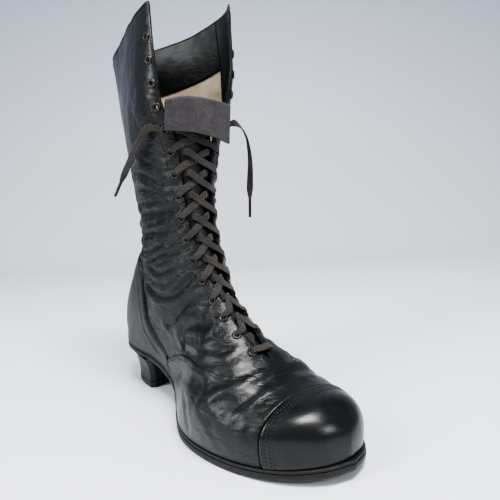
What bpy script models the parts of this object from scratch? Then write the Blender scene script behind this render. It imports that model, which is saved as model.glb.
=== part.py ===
"""Victorian lace-up boot for the right foot, standing empty on its sole, its top unlaced and its tongue folded over.

The tables are in millimetres and the mesh is in metres. Along the boot, t runs from 0 at the back of the
heel seat towards the toe, x is negative on the outer (lateral) side, and z is up from the floor. In the
scene the toe points to -Y, and the origin lies on the floor under the middle of the heel.
"""

import math

import bmesh
import bpy
import numpy as np
from mathutils import Vector

MM = 0.001

# Driving sizes. The tables are drawn for the first value of each, and follow when it changes.
SOLE_LENGTH = 255.0
BALL_WIDTH = 92.0
INSTEP_HEIGHT = 122.0
HEEL_HEIGHT = 35.0
DRAWN_LENGTH = 255.0
DRAWN_BALL = 92.0
DRAWN_INSTEP = 122.0
DRAWN_HEEL = 35.0
FOREFOOT_HEIGHT = 60.0
FOREFOOT_T = 150.0

# Leather and gaps
WALL = 1.8
GAP = 0.3
OVERLAY_LIFT = 0.35
VAMP_LEATHER = 0.9
CAP_LEATHER = 1.5
COUNTER_LEATHER = 1.0
TONGUE_LEATHER = 1.2
TONGUE_DEPTH = 4.2
OUTSOLE_LEATHER = 4.2
OUTSOLE_CHAMFER = 1.1
WELT_LEATHER = 2.0
WELT_UNDER_WALL = 1.9
WELT_INSIDE_SOLE = 0.5
WELT_SAMPLES = 58
INSOLE_LEATHER = 4.2
INSOLE_INSET = 2.9
INSOLE_SEAT = 0.45
PLATE_STATION_STEP = 0.9

# Heel: its half width, back and breast at the bottom and under the sole
HEEL_CENTRE_T = 28.0
HEEL_HALF = (22.0, 28.6)
HEEL_BACK_T = (6.0, -0.6)
HEEL_BREAST_T = (52.0, 57.0)
HEEL_BREAST_HOLLOW = 2.4
HEEL_CORNER = 3.0
HEEL_FLARE = 2.2
HEEL_ROUNDNESS = 0.72
TOP_LIFT_HEIGHT = 5.5
HEEL_SIDES = 24

# Eyelets and lace
EYELETS = 16
LACED = 12
EYELET_PITCH = 16.6
EYELET_FROM_EDGE = 5.2
BOTTOM_EYELET_RISE = 9.0
EYELET_HOLE = 2.6
EYELET_BORE = 1.5
EYELET_FLANGE = 3.5
EYELET_SEAT = 0.55
EYELET_TOP = 1.15
EYELET_SIDES = 6
LACE_WIDTH = 6.0
LACE_THICKNESS = 1.1
LACE_STOPS_BELOW = 3.5
LACE_END_DIAMETER = 3.6
AGLET_DIAMETER = 2.6

LATERAL = -1
MEDIAL = 1


class Table:
    """Rows with named columns, read between the rows on smooth curves that never overshoot."""

    def __init__(self, columns, rows):
        self.columns = columns.split()
        self.values = np.array(rows, float)
        self.knots = self.values[:, 0]

    def at(self, column, where):
        values = self.values[:, self.columns.index(column)]
        return smooth(self.knots, values, where)


def smooth(knots, values, where):
    """Monotone cubic through the values, at one place or at many."""
    step = np.diff(knots)
    rise = np.diff(values) / step
    slope = np.zeros_like(values)
    slope[0] = rise[0]
    slope[-1] = rise[-1]
    same_way = rise[:-1] * rise[1:] > 0
    before = step[:-1] + 2 * step[1:]
    after = 2 * step[:-1] + step[1:]
    safe = np.where(same_way, rise[:-1] * rise[1:], 1.0)
    mean = (before + after) * safe / (before * rise[1:] + after * rise[:-1] + (~same_way) * 1e9)
    slope[1:-1] = np.where(same_way, mean, 0.0)
    where = np.clip(where, knots[0], knots[-1])
    span = np.clip(np.searchsorted(knots, where, side="right") - 1, 0, len(knots) - 2)
    share = (where - knots[span]) / step[span]
    start = values[span] * (1 + 2 * share) * (1 - share) ** 2
    end = values[span + 1] * share**2 * (3 - 2 * share)
    lean = slope[span] * share * (1 - share) ** 2 - slope[span + 1] * share**2 * (1 - share)
    return start + end + lean * step[span]


def through(points, samples):
    """Points evenly spaced along a smooth curve through the given ones."""
    points = np.array(points, float)
    reach = np.concatenate([[0], np.cumsum(np.linalg.norm(np.diff(points, axis=0), axis=1))])
    dense = np.linspace(0, reach[-1], 40 * len(points))
    curve = []
    for axis in points.T:
        slope = np.gradient(axis, reach)
        span = np.clip(np.searchsorted(reach, dense, side="right") - 1, 0, len(reach) - 2)
        step = np.diff(reach)[span]
        share = (dense - reach[span]) / step
        start = axis[span] * (1 + 2 * share) * (1 - share) ** 2
        end = axis[span + 1] * share**2 * (3 - 2 * share)
        lean = slope[span] * share * (1 - share) ** 2 - slope[span + 1] * share**2 * (1 - share)
        curve.append(start + end + lean * step)
    curve = np.array(curve).T
    along = np.concatenate([[0], np.cumsum(np.linalg.norm(np.diff(curve, axis=0), axis=1))])
    places = np.linspace(0, along[-1], samples)
    return np.array([np.interp(places, along, axis) for axis in curve.T]).T


# The sole's underside: height above the floor along the boot
SOLE_BOTTOM = Table(
    "t height",
    [
        (-20, 36.9),
        (0, 34.8),
        (58, 28.7),
        (65, 27.1),
        (72, 24.4),
        (88, 17.0),
        (104, 9.8),
        (120, 4.2),
        (136, 1.0),
        (150, 0.0),
        (196, 0.0),
        (212, 0.7),
        (228, 2.2),
        (242, 4.2),
        (262, 7.6),
    ],
)

# The feather line, where the upper meets the sole, from the back of the heel to the toe
FEATHER_LATERAL = [
    (0, 0),
    (2.2, -11),
    (8, -19.5),
    (18, -25.5),
    (32, -28),
    (48, -27),
    (64, -24),
    (80, -21.5),
    (95, -22.5),
    (110, -28.5),
    (125, -36.5),
    (140, -43),
    (155, -46),
    (172, -46),
    (190, -43),
    (207, -37.5),
    (222, -30),
    (235, -20),
    (244, -9),
    (249, 5),
]
FEATHER_MEDIAL = [
    (0, 0),
    (2, 10),
    (7, 18),
    (16, 24.5),
    (30, 27.5),
    (46, 26.5),
    (62, 23),
    (78, 19.5),
    (94, 18),
    (110, 19.5),
    (126, 24),
    (143, 30.5),
    (160, 36.5),
    (176, 40),
    (193, 41),
    (210, 39.5),
    (226, 35),
    (238, 28),
    (245.5, 18),
    (249, 5),
]

# The outsole's margin beyond the feather line
SOLE_MARGIN = Table(
    "t margin",
    [(-5, 1.2), (60, 1.4), (100, 1.8), (140, 2.2), (180, 2.5), (215, 2.9), (240, 3.6), (250, 4.4)],
)

# The upper, a row for each section from the toe to the rim. The front point lies on the ridge or the front of
# the leg, the back point on the feather line or, raised by rise, on the heel's back and the back of the leg.
SECTIONS = Table(
    "row front_t front_z back_t rise ease_lateral ease_medial widest front_power back_power front_x back_x",
    [
        (0, 249.4, 20.5, 249.0, 0, 0, 0, 0.50, 2.0, 2.0, 5.0, 0),
        (1, 247.2, 27.5, 246.6, 0, 0.4, 0.4, 0.60, 2.2, 2.4, 5.0, 0),
        (2, 241.5, 34.6, 240.5, 0, 0.9, 0.9, 0.62, 2.3, 2.6, 4.8, 0),
        (3, 232.0, 39.6, 231.0, 0, 1.3, 1.3, 0.62, 2.3, 2.6, 4.5, 0),
        (4, 220.5, 41.4, 219.0, 0, 1.5, 1.5, 0.62, 2.2, 2.6, 4.0, 0),
        (5, 209.0, 43.6, 205.0, 0, 1.6, 1.6, 0.62, 2.1, 2.6, 3.0, 0),
        (6, 197.0, 49.4, 189.0, 0, 1.6, 1.4, 0.64, 2.0, 2.6, 1.5, 0),
        (7, 184.0, 59.0, 171.0, 0, 1.4, 1.2, 0.68, 1.9, 2.6, 0.0, 0),
        (8, 171.0, 69.5, 151.0, 0, 1.2, 1.0, 0.72, 1.8, 2.6, -1.0, 0),
        (9, 157.5, 82.0, 129.0, 0, 1.2, 1.4, 0.74, 1.8, 2.6, -1.6, 0),
        (10, 145.5, 95.5, 105.0, 0, 2.4, 3.4, 0.70, 1.9, 2.6, -2.0, 0),
        (11, 136.0, 109.0, 80.0, 0, 4.6, 5.2, 0.64, 2.0, 2.6, -2.4, 0),
        (12, 129.0, 122.0, 55.0, 0, 2.8, 2.8, 0.60, 2.1, 2.7, -2.6, 0),
        (13, 124.5, 134.0, 30.0, 0, 1.0, 1.0, 0.56, 2.2, 3.1, -2.8, 0),
        (14, 121.5, 145.0, 10.0, 0, 0.4, 0.6, 0.54, 2.2, 3.3, -3.0, 0),
        (15, 119.5, 154.0, 0.0, 0, 0.0, 0.4, 0.52, 2.3, 3.2, -3.0, 0),
        (16, 118.0, 163.0, -2.5, 14, -1.2, 0.0, 0.50, 2.4, 2.8, -3.0, 0.5),
        (17, 116.8, 173.0, 3.0, 32, -3.2, -0.4, 0.48, 2.4, 2.2, -3.0, 1.0),
        (18, 116.0, 184.0, 16.0, 52, -4.2, -0.4, 0.46, 2.5, 1.9, -3.0, 2.0),
        (19, 115.5, 196.0, 23.0, 76, -3.6, 0.2, 0.44, 2.5, 1.7, -3.0, 2.0),
        (20, 115.2, 210.0, 22.0, 106, -2.2, 0.8, 0.42, 2.6, 1.7, -3.0, 0.5),
        (21, 115.0, 225.0, 16.0, 138, -0.6, 1.6, 0.42, 2.6, 1.7, -3.0, -1.5),
        (22, 115.0, 243.0, 8.0, 172, 0.4, 2.6, 0.42, 2.6, 1.6, -2.5, -4.0),
        (23, 114.5, 262.0, -1.0, 204, -1.0, 2.6, 0.42, 2.6, 1.5, -2.0, -6.5),
        (24, 113.5, 284.0, -6.5, 234, -4.5, 1.0, 0.42, 2.6, 1.4, -2.0, -8.5),
        (25, 112.0, 306.0, -9.0, 257, -8.0, 0.0, 0.42, 2.6, 1.4, -2.0, -10.0),
    ],
)

# The throat: how far its edge lies from the front line, and how far the unlaced flaps stand open
THROAT_ROW = 6.75
THROAT = Table(
    "row half_gap splay_lateral splay_medial raise_medial",
    [
        (6.75, 0.0, 0, 0, 0),
        (7.4, 3.2, 0, 0, 0),
        (8.5, 5.0, 0, 0, 0),
        (10, 7.0, 0, 0, 0),
        (12, 9.4, 0, 0, 0),
        (15, 12.0, 0, 0, 0),
        (18, 13.0, 0, 1.0, 0.5),
        (20, 13.5, 2.0, 6.0, 2.0),
        (21, 14.0, 7.0, 14.0, 3.5),
        (22, 14.0, 12.0, 22.0, 5.5),
        (23, 14.0, 14.0, 26.0, 8.0),
        (24, 14.0, 15.5, 28.0, 10.0),
        (25, 14.0, 16.5, 30.0, 12.0),
    ],
)

# The upper's mesh: rows of the table above, and shares of the way from the throat to the sole or the back
TOE_ROWS = [0, 0.4, 0.9, 1.5, 2.2, 3, 3.9, 4.8, 5.6, 6.2, 6.75]
FOOT_ROWS = [7.5, 8.3, 9.1, 9.9, 10.7, 11.4, 11.85, 12.3, 12.9, 13.5, 14.1, 14.6, 15]
LEG_ROWS = [15.5, 16.2, 17, 17.8, 18.6, 19.4, 20.3, 21.1, 21.9, 23, 24, 25]
GRID_ROWS = TOE_ROWS + FOOT_ROWS + LEG_ROWS
GRID_COLUMNS = [0, 0.07, 0.17, 0.29, 0.42, 0.55, 0.68, 0.8, 0.91, 1]
SPLAY_SHARE = 0.8
LEVEL_OF_WIDEST_SEAT = 32.0

# Seams in side view, as t and z
VAMP_SEAM = [
    (84, 14),
    (87, 28),
    (91, 37),
    (100, 43),
    (112, 47.5),
    (130, 52),
    (144, 53.4),
    (160, 52.4),
    (176, 51),
    (190, 51),
    (206, 52.5),
]
CAP_SEAM_T = 216.5
COUNTER_SEAM = [
    (92.4, 40.4),
    (86, 46),
    (77, 56),
    (70, 66),
    (66, 76),
    (63.5, 89),
    (61, 102),
    (55, 113),
    (44, 120),
    (26, 124),
    (-12, 126),
]

# The tongue: how wide it is to each side of the front line, and the fold at its top
TONGUE = Table(
    "row lateral medial",
    [(7.0, 9, 9), (8.5, 14, 14), (11, 19, 19), (15, 23, 23), (19, 24, 25), (21.7, 24, 26)],
)
TONGUE_LAST_ROW = 21.7
TONGUE_FOLD_RADIUS = 3.0
TONGUE_FLAP = 25.0
TONGUE_FLAP_TILT = 4.0
TONGUE_FLAP_HALF = 27.0
TONGUE_FLAP_X = 1.5
TONGUE_FLAP_T = 117.5
TONGUE_FLAP_TURN = 2.5
TONGUE_FLAP_SLIDE = 4.0

# The hanging lace ends after their eyelets, as x, t and z
LATERAL_END = [
    (-33.0, 101.5, 217.2),
    (-35.5, 91.0, 209.8),
    (-36.5, 78.5, 200.5),
    (-36.5, 69.0, 193.5),
    (-37.5, 61.4, 186.2),
    (-38.1, 56.0, 181.0),
]
MEDIAL_END = [
    (38.0, 112.0, 223.8),
    (42.0, 113.5, 221.0),
    (45.5, 116.0, 213.4),
    (46.6, 117.5, 203.6),
    (47.0, 118.0, 190.0),
    (47.0, 117.0, 179.6),
    (47.0, 116.0, 170.0),
    (47.0, 115.6, 163.5),
]
AGLET_LENGTH = 16.0


def width_ratio():
    return BALL_WIDTH / DRAWN_BALL


def length_ratio():
    return SOLE_LENGTH / DRAWN_LENGTH


def place(x, t, z):
    """A point of the tables, in the scene's frame and in metres."""
    y = (HEEL_CENTRE_T - t) * length_ratio()
    height = z + max(z - FOREFOOT_HEIGHT, 0.0) * (INSTEP_HEIGHT / DRAWN_INSTEP - 1)
    return Vector((x * width_ratio(), y, height)) * MM


def sole_bottom(t):
    """Height of the sole's underside, which follows the heel's height in the heel and the waist."""
    return SOLE_BOTTOM.at("height", t) * np.where(np.asarray(t) < FOREFOOT_T, HEEL_HEIGHT / DRAWN_HEEL, 1.0)


def sole_top(t):
    return sole_bottom(t) + OUTSOLE_LEATHER


def seat(t):
    """Height of the upper's lower edge, on the welt."""
    return sole_top(t) + GAP + WELT_LEATHER + GAP


def insole_bottom(t):
    return sole_top(t) + INSOLE_SEAT


def insole_top(t):
    return insole_bottom(t) + INSOLE_LEATHER


def sole_margin(t):
    """How far the outsole stands out beyond the feather line."""
    return float(SOLE_MARGIN.at("margin", t))


FEATHER = {LATERAL: through(FEATHER_LATERAL, 240), MEDIAL: through(FEATHER_MEDIAL, 240)}


def feather_x(side, t):
    """x of the feather line on one side."""
    line = FEATHER[side]
    order = np.argsort(line[:, 0], kind="stable")
    return float(np.interp(t, line[order, 0], line[order, 1]))


def outline(offset, samples=56):
    """The feather line all round, moved outward by offset, a number or a function of t. Points are (x, t)."""
    lateral = FEATHER[LATERAL][:, ::-1]
    medial = FEATHER[MEDIAL][::-1, ::-1]
    ring = through(np.concatenate([lateral[:-1], medial[:-1], lateral[:1]]), 480)[:-1]
    ahead = np.roll(ring, -1, axis=0) - np.roll(ring, 1, axis=0)
    ahead /= np.linalg.norm(ahead, axis=1)[:, None]
    outward = np.stack([-ahead[:, 1], ahead[:, 0]], axis=1)
    by = np.array([offset(t) if callable(offset) else offset for t in ring[:, 1]])
    moved = ring + outward * by[:, None]
    bend = np.linalg.norm(np.roll(ahead, -1, axis=0) - ahead, axis=1)
    step = np.linalg.norm(np.roll(ring, -1, axis=0) - ring, axis=1)
    along = np.concatenate([[0], np.cumsum(step / 9.0 + bend * 4.0)])
    places = np.arange(samples) * along[-1] / samples
    closed = np.concatenate([moved, moved[:1]])
    return np.array([np.interp(places, along, axis) for axis in closed.T]).T


def half_section(row, side, laced=False):
    """Half a section of the upper's outer face, from the front line to the sole or the back.

    Where laced is true, the flaps at the top are closed, as over the tongue.
    """
    read = {name: float(SECTIONS.at(name, row)) for name in SECTIONS.columns}
    ease = read["ease_lateral"] if side == LATERAL else read["ease_medial"]
    splay = 0.0 if laced else float(THROAT.at("splay_lateral" if side == LATERAL else "splay_medial", row))
    back_z = float(seat(max(read["back_t"], 0.0))) + read["rise"]
    reach = feather_x(side, max(read["back_t"], LEVEL_OF_WIDEST_SEAT)) + side * ease
    on_sole = read["rise"] < 0.01
    base = feather_x(side, read["back_t"]) if on_sole else read["back_x"]
    front_x, back_x, widest = read["front_x"], read["back_x"], read["widest"]
    turn = np.linspace(0, math.pi / 2, 25)
    front_share = widest * (1 - np.cos(turn))
    power = read["front_power"]
    front_width = (1 - np.cos(turn) ** power) ** (1 / power)
    front_line = front_x + (reach - front_x) * front_width
    power = read["back_power"]
    span = reach - back_x
    ratio = min(max((base - back_x) / span, 0.0), 0.999) if abs(span) > 1e-6 else 0.999
    closing = (1 - ratio**power) ** (1 / power)
    back_share = widest + (1 - widest) * np.sin(turn)
    back_width = (1 - (np.sin(turn) * closing) ** power) ** (1 / power)
    back_line = back_x + span * back_width
    share = np.concatenate([front_share, back_share[1:]])
    x = np.concatenate([front_line, back_line[1:]])
    ahead = np.clip(1 - share / SPLAY_SHARE, 0, 1) ** 1.6
    x = x + side * splay * ahead
    t = read["front_t"] + (read["back_t"] - read["front_t"]) * share
    z = read["front_z"] + (back_z - read["front_z"]) * share
    if side == MEDIAL and not laced:
        z = z + float(THROAT.at("raise_medial", row)) * ahead
    return np.stack([x, t, z], axis=1)


def throat_gap(row):
    return float(THROAT.at("half_gap", row)) if row >= THROAT_ROW else 0.0


def on_section(row, side, arcs, laced=False):
    """Points on one half of a section at these distances from its front line, and the half's length."""
    line = half_section(row, side, laced)
    along = np.concatenate([[0], np.cumsum(np.linalg.norm(np.diff(line, axis=0), axis=1))])
    return np.array([np.interp(arcs, along, axis) for axis in line.T]).T, along[-1]


def grid_points(row, side):
    """The grid's points on one half of a section, from the throat's edge to the sole or the back."""
    length = on_section(row, side, [0])[1]
    gap = throat_gap(row)
    return on_section(row, side, gap + np.array(GRID_COLUMNS) * (length - gap))[0]


def surface_frame(row, side, arc, laced=False):
    """A point of the outer face, its outward normal, and the directions up the throat and away from it."""

    def spot(at_row, at_arc):
        return Vector(on_section(at_row, side, [at_arc], laced)[0][0])

    here = spot(row, arc)
    up = spot(row + 0.05, arc) - spot(row - 0.05, arc)
    away = spot(row, arc + 0.5) - spot(row, max(arc - 0.5, 0.0))
    normal = up.cross(away).normalized() * side
    return here, normal, up.normalized(), away.normalized()


def finish(obj, colour, roughness, metallic=0.0):
    material = bpy.data.materials.new(obj.name)
    material.use_nodes = True
    shader = material.node_tree.nodes["Principled BSDF"]
    shader.inputs["Base Color"].default_value = (*colour, 1.0)
    shader.inputs["Roughness"].default_value = roughness
    shader.inputs["Metallic"].default_value = metallic
    obj.data.materials.clear()
    obj.data.materials.append(material)
    return obj


BLACK_LEATHER = ((0.012, 0.013, 0.014), 0.42)
SOLE_BLACK = ((0.016, 0.015, 0.014), 0.5)
SUEDE = ((0.075, 0.066, 0.068), 0.95)
TAN = ((0.3, 0.22, 0.13), 0.8)
LACE_BROWN = ((0.05, 0.043, 0.036), 0.9)
ENAMEL = ((0.02, 0.018, 0.017), 0.35)


def mesh_object(name, points, faces, is_metres=False):
    """A mesh from points of the tables, as x, t and z."""
    mesh = bpy.data.meshes.new(name)
    where = [Vector(p) if is_metres else place(*p) for p in points]
    mesh.from_pydata([tuple(p) for p in where], [], faces)
    obj = bpy.data.objects.new(name, mesh)
    bpy.context.scene.collection.objects.link(obj)
    edit = bmesh.new()
    edit.from_mesh(mesh)
    bmesh.ops.remove_doubles(edit, verts=edit.verts, dist=1e-6)
    bmesh.ops.recalc_face_normals(edit, faces=edit.faces)
    edit.to_mesh(mesh)
    edit.free()
    return obj


def smooth_shading(obj, angle=math.radians(40)):
    obj.data.shade_smooth()
    obj.data.set_sharp_from_angle(angle=angle)
    return obj


def apply(obj, modifier):
    """Sets the evaluated mesh in place of the modifier's input."""
    graph = bpy.context.evaluated_depsgraph_get()
    graph.update()
    made = bpy.data.meshes.new_from_object(obj.evaluated_get(graph))
    obj.modifiers.remove(modifier)
    old = obj.data
    obj.data = made
    bpy.data.meshes.remove(old)


def form(name, lift):
    """The upper's outer face moved outward by lift, as one open sheet."""
    points = []
    faces = []
    count = len(GRID_COLUMNS)
    for row in GRID_ROWS:
        for side in (LATERAL, MEDIAL):
            points.extend(grid_points(row, side))
    for level in range(len(GRID_ROWS) - 1):
        for half, side in enumerate((LATERAL, MEDIAL)):
            for column in range(count - 1):
                low = (2 * level + half) * count + column
                high = low + 2 * count
                corners = [(low, low + 1, high), (low + 1, high + 1, high)]
                if level == 0:
                    corners = [(low, low + 1, high + 1), (low, high + 1, high)]
                faces.extend(corners if side == MEDIAL else [face[::-1] for face in corners])
    obj = mesh_object(name, points, faces)
    edit = bmesh.new()
    edit.from_mesh(obj.data)
    bmesh.ops.dissolve_degenerate(edit, dist=1e-6, edges=edit.edges)
    if sum(face.normal.dot(face.calc_center_median() - Vector((0, 0, 0.1))) for face in edit.faces) < 0:
        bmesh.ops.reverse_faces(edit, faces=edit.faces)
    edit.normal_update()
    moves = [(vert, vert.normal * lift * MM) for vert in edit.verts]
    for vert, move in moves:
        vert.co += move
    edit.to_mesh(obj.data)
    edit.free()
    return obj


def thicken(obj, leather, outward):
    wall = obj.modifiers.new("leather", "SOLIDIFY")
    wall.thickness = leather * MM
    wall.offset = 1.0 if outward else -1.0
    wall.use_even_offset = False
    apply(obj, wall)
    stand_on_welt(obj)


def stand_on_welt(obj):
    """Raises what the wall's slope carries below the welt's top."""
    for vert in obj.data.vertices:
        t = HEEL_CENTRE_T - vert.co.y / MM / length_ratio()
        vert.co.z = max(vert.co.z, float(seat(t)) * MM)


def side_cutter(name, outline_tz, half_width=90.0):
    """A prism across the boot from a closed outline in side view."""
    count = len(outline_tz)
    points = [(x, t, z) for x in (-half_width, half_width) for t, z in outline_tz]
    faces = [tuple(range(count)), tuple(range(2 * count - 1, count - 1, -1))]
    for corner in range(count):
        after = (corner + 1) % count
        faces.append((corner, after, count + after, count + corner))
    cutter = mesh_object(name, points, faces)
    cutter.hide_render = True
    cutter.display_type = "WIRE"
    return cutter


def combine(obj, other, operation, solver="EXACT"):
    boolean = obj.modifiers.new(operation.lower(), "BOOLEAN")
    boolean.operation = operation
    boolean.solver = solver
    boolean.object = other
    apply(obj, boolean)
    bpy.data.objects.remove(other)


def eyelet_places():
    """Rows and arcs of the eyelets of each side, from the bottom pair up, evenly spaced along the edge."""
    places = {}
    for side in (LATERAL, MEDIAL):
        rows = np.linspace(THROAT_ROW, SECTIONS.knots[-1], 400)
        edge = np.array([on_section(row, side, [throat_gap(row) + EYELET_FROM_EDGE])[0][0] for row in rows])
        along = np.concatenate([[0], np.cumsum(np.linalg.norm(np.diff(edge, axis=0), axis=1))])
        wanted = BOTTOM_EYELET_RISE + EYELET_PITCH * np.arange(EYELETS)
        places[side] = [(row, throat_gap(row) + EYELET_FROM_EDGE) for row in np.interp(wanted, along, rows)]
    return places


def ring_at(name, profile, centre, normal, sides):
    """A ring turned about a normal, from a closed profile of radius and height."""
    normal = Vector(normal).normalized()
    across = normal.orthogonal().normalized()
    other = normal.cross(across)
    points = []
    for step in range(sides):
        angle = 2 * math.pi * step / sides
        spoke = across * math.cos(angle) + other * math.sin(angle)
        points.extend(Vector(centre) + spoke * radius + normal * height for radius, height in profile)
    count = len(profile)
    faces = []
    for step in range(sides):
        after = (step + 1) % sides
        for corner in range(count):
            beside = (corner + 1) % count
            faces.append(
                (step * count + corner, step * count + beside, after * count + beside, after * count + corner)
            )
    return mesh_object(name, [tuple(p) for p in points], faces)


def make_upper(places):
    upper = form("upper", 0.0)
    thicken(upper, WALL, outward=False)
    holes = bmesh.new()
    for side in (LATERAL, MEDIAL):
        for row, arc in places[side]:
            here, normal, _, _ = surface_frame(row, side, arc)
            inner = here - normal * (WALL + 2.0)
            outer = here + normal * 2.0
            across = normal.orthogonal().normalized()
            other = normal.cross(across)
            ends = []
            for middle in (inner, outer):
                ring = []
                for step in range(EYELET_SIDES):
                    angle = 2 * math.pi * step / EYELET_SIDES
                    spoke = across * math.cos(angle) + other * math.sin(angle)
                    ring.append(holes.verts.new(place(*(middle + spoke * EYELET_HOLE))))
                ends.append(ring)
            holes.faces.new(ends[0])
            holes.faces.new(ends[1][::-1])
            for step in range(EYELET_SIDES):
                after = (step + 1) % EYELET_SIDES
                holes.faces.new((ends[0][step], ends[1][step], ends[1][after], ends[0][after]))
    bmesh.ops.recalc_face_normals(holes, faces=holes.faces)
    mesh = bpy.data.meshes.new("holes")
    holes.to_mesh(mesh)
    holes.free()
    cutter = bpy.data.objects.new("holes", mesh)
    bpy.context.scene.collection.objects.link(cutter)
    combine(upper, cutter, "DIFFERENCE")
    return finish(smooth_shading(upper), *BLACK_LEATHER)


def make_overlay(name, leather, region):
    """An overlay, cut by a prism from the shell between two larger forms of the upper."""
    overlay = form(name, OVERLAY_LIFT)
    thicken(overlay, leather, outward=True)
    combine(overlay, side_cutter(name + "_cutter", region), "INTERSECT")
    return finish(smooth_shading(overlay), *BLACK_LEATHER)


def make_overlays():
    vamp_seam = [tuple(p) for p in through(VAMP_SEAM, 18)]
    front = CAP_SEAM_T - GAP / 2
    make_overlay("vamp", VAMP_LEATHER, vamp_seam + [(front, 70), (front, -10), (84, -10)])
    back = CAP_SEAM_T + GAP / 2
    make_overlay("toe_cap", CAP_LEATHER, [(back, -10), (back, 80), (275, 80), (275, -10)])
    foot = [(t - 2 * GAP, z + GAP) for t, z in VAMP_SEAM[:3]]
    counter_seam = foot + [tuple(p) for p in through(COUNTER_SEAM, 17)]
    make_overlay("heel_counter", COUNTER_LEATHER, counter_seam + [(-40, 126), (-40, -10), (foot[0][0], -10)])


def plate(name, rim, bottom, top, chamfer=0.0):
    """A leather plate inside an outline, whose faces follow heights along the boot."""
    rear, tip = int(np.argmin(rim[:, 1])), int(np.argmax(rim[:, 1]))
    ring = np.roll(rim, -rear, axis=0)
    peak = (tip - rear) % len(rim)
    left = ring[: peak + 1]
    right = np.concatenate([ring[peak:], ring[:1]])[::-1]
    stations = []
    for t in np.sort(np.concatenate([left[1:-1, 1], right[1:-1, 1]])):
        if not stations or t - stations[-1] > PLATE_STATION_STEP:
            stations.append(t)
    points = []
    faces = []
    for t in stations:
        low, high = float(bottom(t)), float(top(t))
        x_left, x_right = np.interp(t, left[:, 1], left[:, 0]), np.interp(t, right[:, 1], right[:, 0])
        across = [(x_left, low), (x_left, high), (x_right, high), (x_right, low)]
        if chamfer:
            inset = min(chamfer, 0.3 * (x_right - x_left))
            across = [(x_left + inset, low), (x_left, low + chamfer), (x_left, high)]
            across += [(x_right, high), (x_right, low + chamfer), (x_right - inset, low)]
        points.extend((x, t, z) for x, z in across)
    count = len(across)
    for level in range(len(stations) - 1):
        low = level * count
        for corner in range(count):
            beside = (corner + 1) % count
            faces.append((low + corner, low + beside, low + count + beside, low + count + corner))
    for end, first in ((rim[rear], 0), (rim[tip], (len(stations) - 1) * count)):
        x, t = end
        foot = len(points)
        points.extend([(x, t, float(bottom(t)) + chamfer), (x, t, float(top(t)))])
        upper_left = first + count // 2 - 1
        for corner in range(count):
            here, after = first + corner, first + (corner + 1) % count
            if here == upper_left:
                faces.append((here, after, foot + 1))
            elif here == upper_left - 1:
                faces.append((here, after, foot + 1, foot))
            elif here == upper_left + 1:
                faces.append((here, after, foot, foot + 1))
            else:
                faces.append((here, after, foot))
    return mesh_object(name, points, faces)


def welt_margin(t):
    return sole_margin(t) - WELT_INSIDE_SOLE


def make_welt():
    """A strip round the sole: it stands proud of the upper, and the upper's wall stands on it."""
    outer = outline(welt_margin, WELT_SAMPLES)
    inner = outline(-WELT_UNDER_WALL, WELT_SAMPLES)
    points = []
    faces = []
    for index in range(WELT_SAMPLES):
        for x, t in (outer[index], inner[index]):
            low = float(sole_top(t)) + GAP
            points.extend([(x, t, low), (x, t, low + WELT_LEATHER)])
    for index in range(WELT_SAMPLES):
        here, after = 4 * index, 4 * ((index + 1) % WELT_SAMPLES)
        for a, b in ((0, 1), (1, 3), (3, 2), (2, 0)):
            faces.append((here + a, here + b, after + b, after + a))
    return finish(smooth_shading(mesh_object("welt", points, faces)), *SOLE_BLACK)


def heel_outline(level):
    """The heel's outline at a level from 0, its bottom, to 1 under the sole: a round back and a hollow breast."""
    flare = level**HEEL_FLARE
    half = HEEL_HALF[0] + (HEEL_HALF[1] - HEEL_HALF[0]) * flare
    back = HEEL_BACK_T[0] + (HEEL_BACK_T[1] - HEEL_BACK_T[0]) * flare
    breast = HEEL_BREAST_T[0] + (HEEL_BREAST_T[1] - HEEL_BREAST_T[0]) * level
    side_end = breast - HEEL_CORNER
    points = []
    for step in range(HEEL_SIDES):
        angle = math.pi * step / (HEEL_SIDES - 1)
        reach = (side_end - back) * math.sin(angle) ** HEEL_ROUNDNESS
        points.append((-math.cos(angle) * half, side_end - reach))
    corner_x = half - HEEL_CORNER * 1.2
    for share in (0.0, 0.25, 0.5, 0.75, 1.0):
        hollow = HEEL_BREAST_HOLLOW * 4 * share * (1 - share)
        points.append((corner_x * (1 - 2 * share), breast - hollow))
    return points


def stack(name, rings):
    """A solid from closed rings of the same number of points, one above the other."""
    count = len(rings[0])
    faces = [tuple(range(count))[::-1]]
    for level in range(len(rings) - 1):
        low = level * count
        for corner in range(count):
            beside = (corner + 1) % count
            faces.append((low + corner, low + beside, low + count + beside, low + count + corner))
    faces.append(tuple(range((len(rings) - 1) * count, len(rings) * count)))
    return mesh_object(name, [point for ring in rings for point in ring], faces)


def make_heel():
    """The tapered heel block under the sole, and the top lift that it stands on."""
    bottom = TOP_LIFT_HEIGHT + GAP
    rings = []
    for level in (0.0, 0.18, 0.4, 0.62, 0.8, 0.92, 1.0):
        ring = []
        for x, t in heel_outline(level):
            top = float(sole_bottom(t)) - GAP
            ring.append((x, t, bottom + (top - bottom) * level))
        rings.append(ring)
    finish(smooth_shading(stack("heel_block", rings)), *SOLE_BLACK)
    foot = heel_outline(0.0)
    rings = [[(x, t, z) for x, t in foot] for z in (0.0, TOP_LIFT_HEIGHT)]
    finish(smooth_shading(stack("top_lift", rings)), *SOLE_BLACK)


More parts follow.
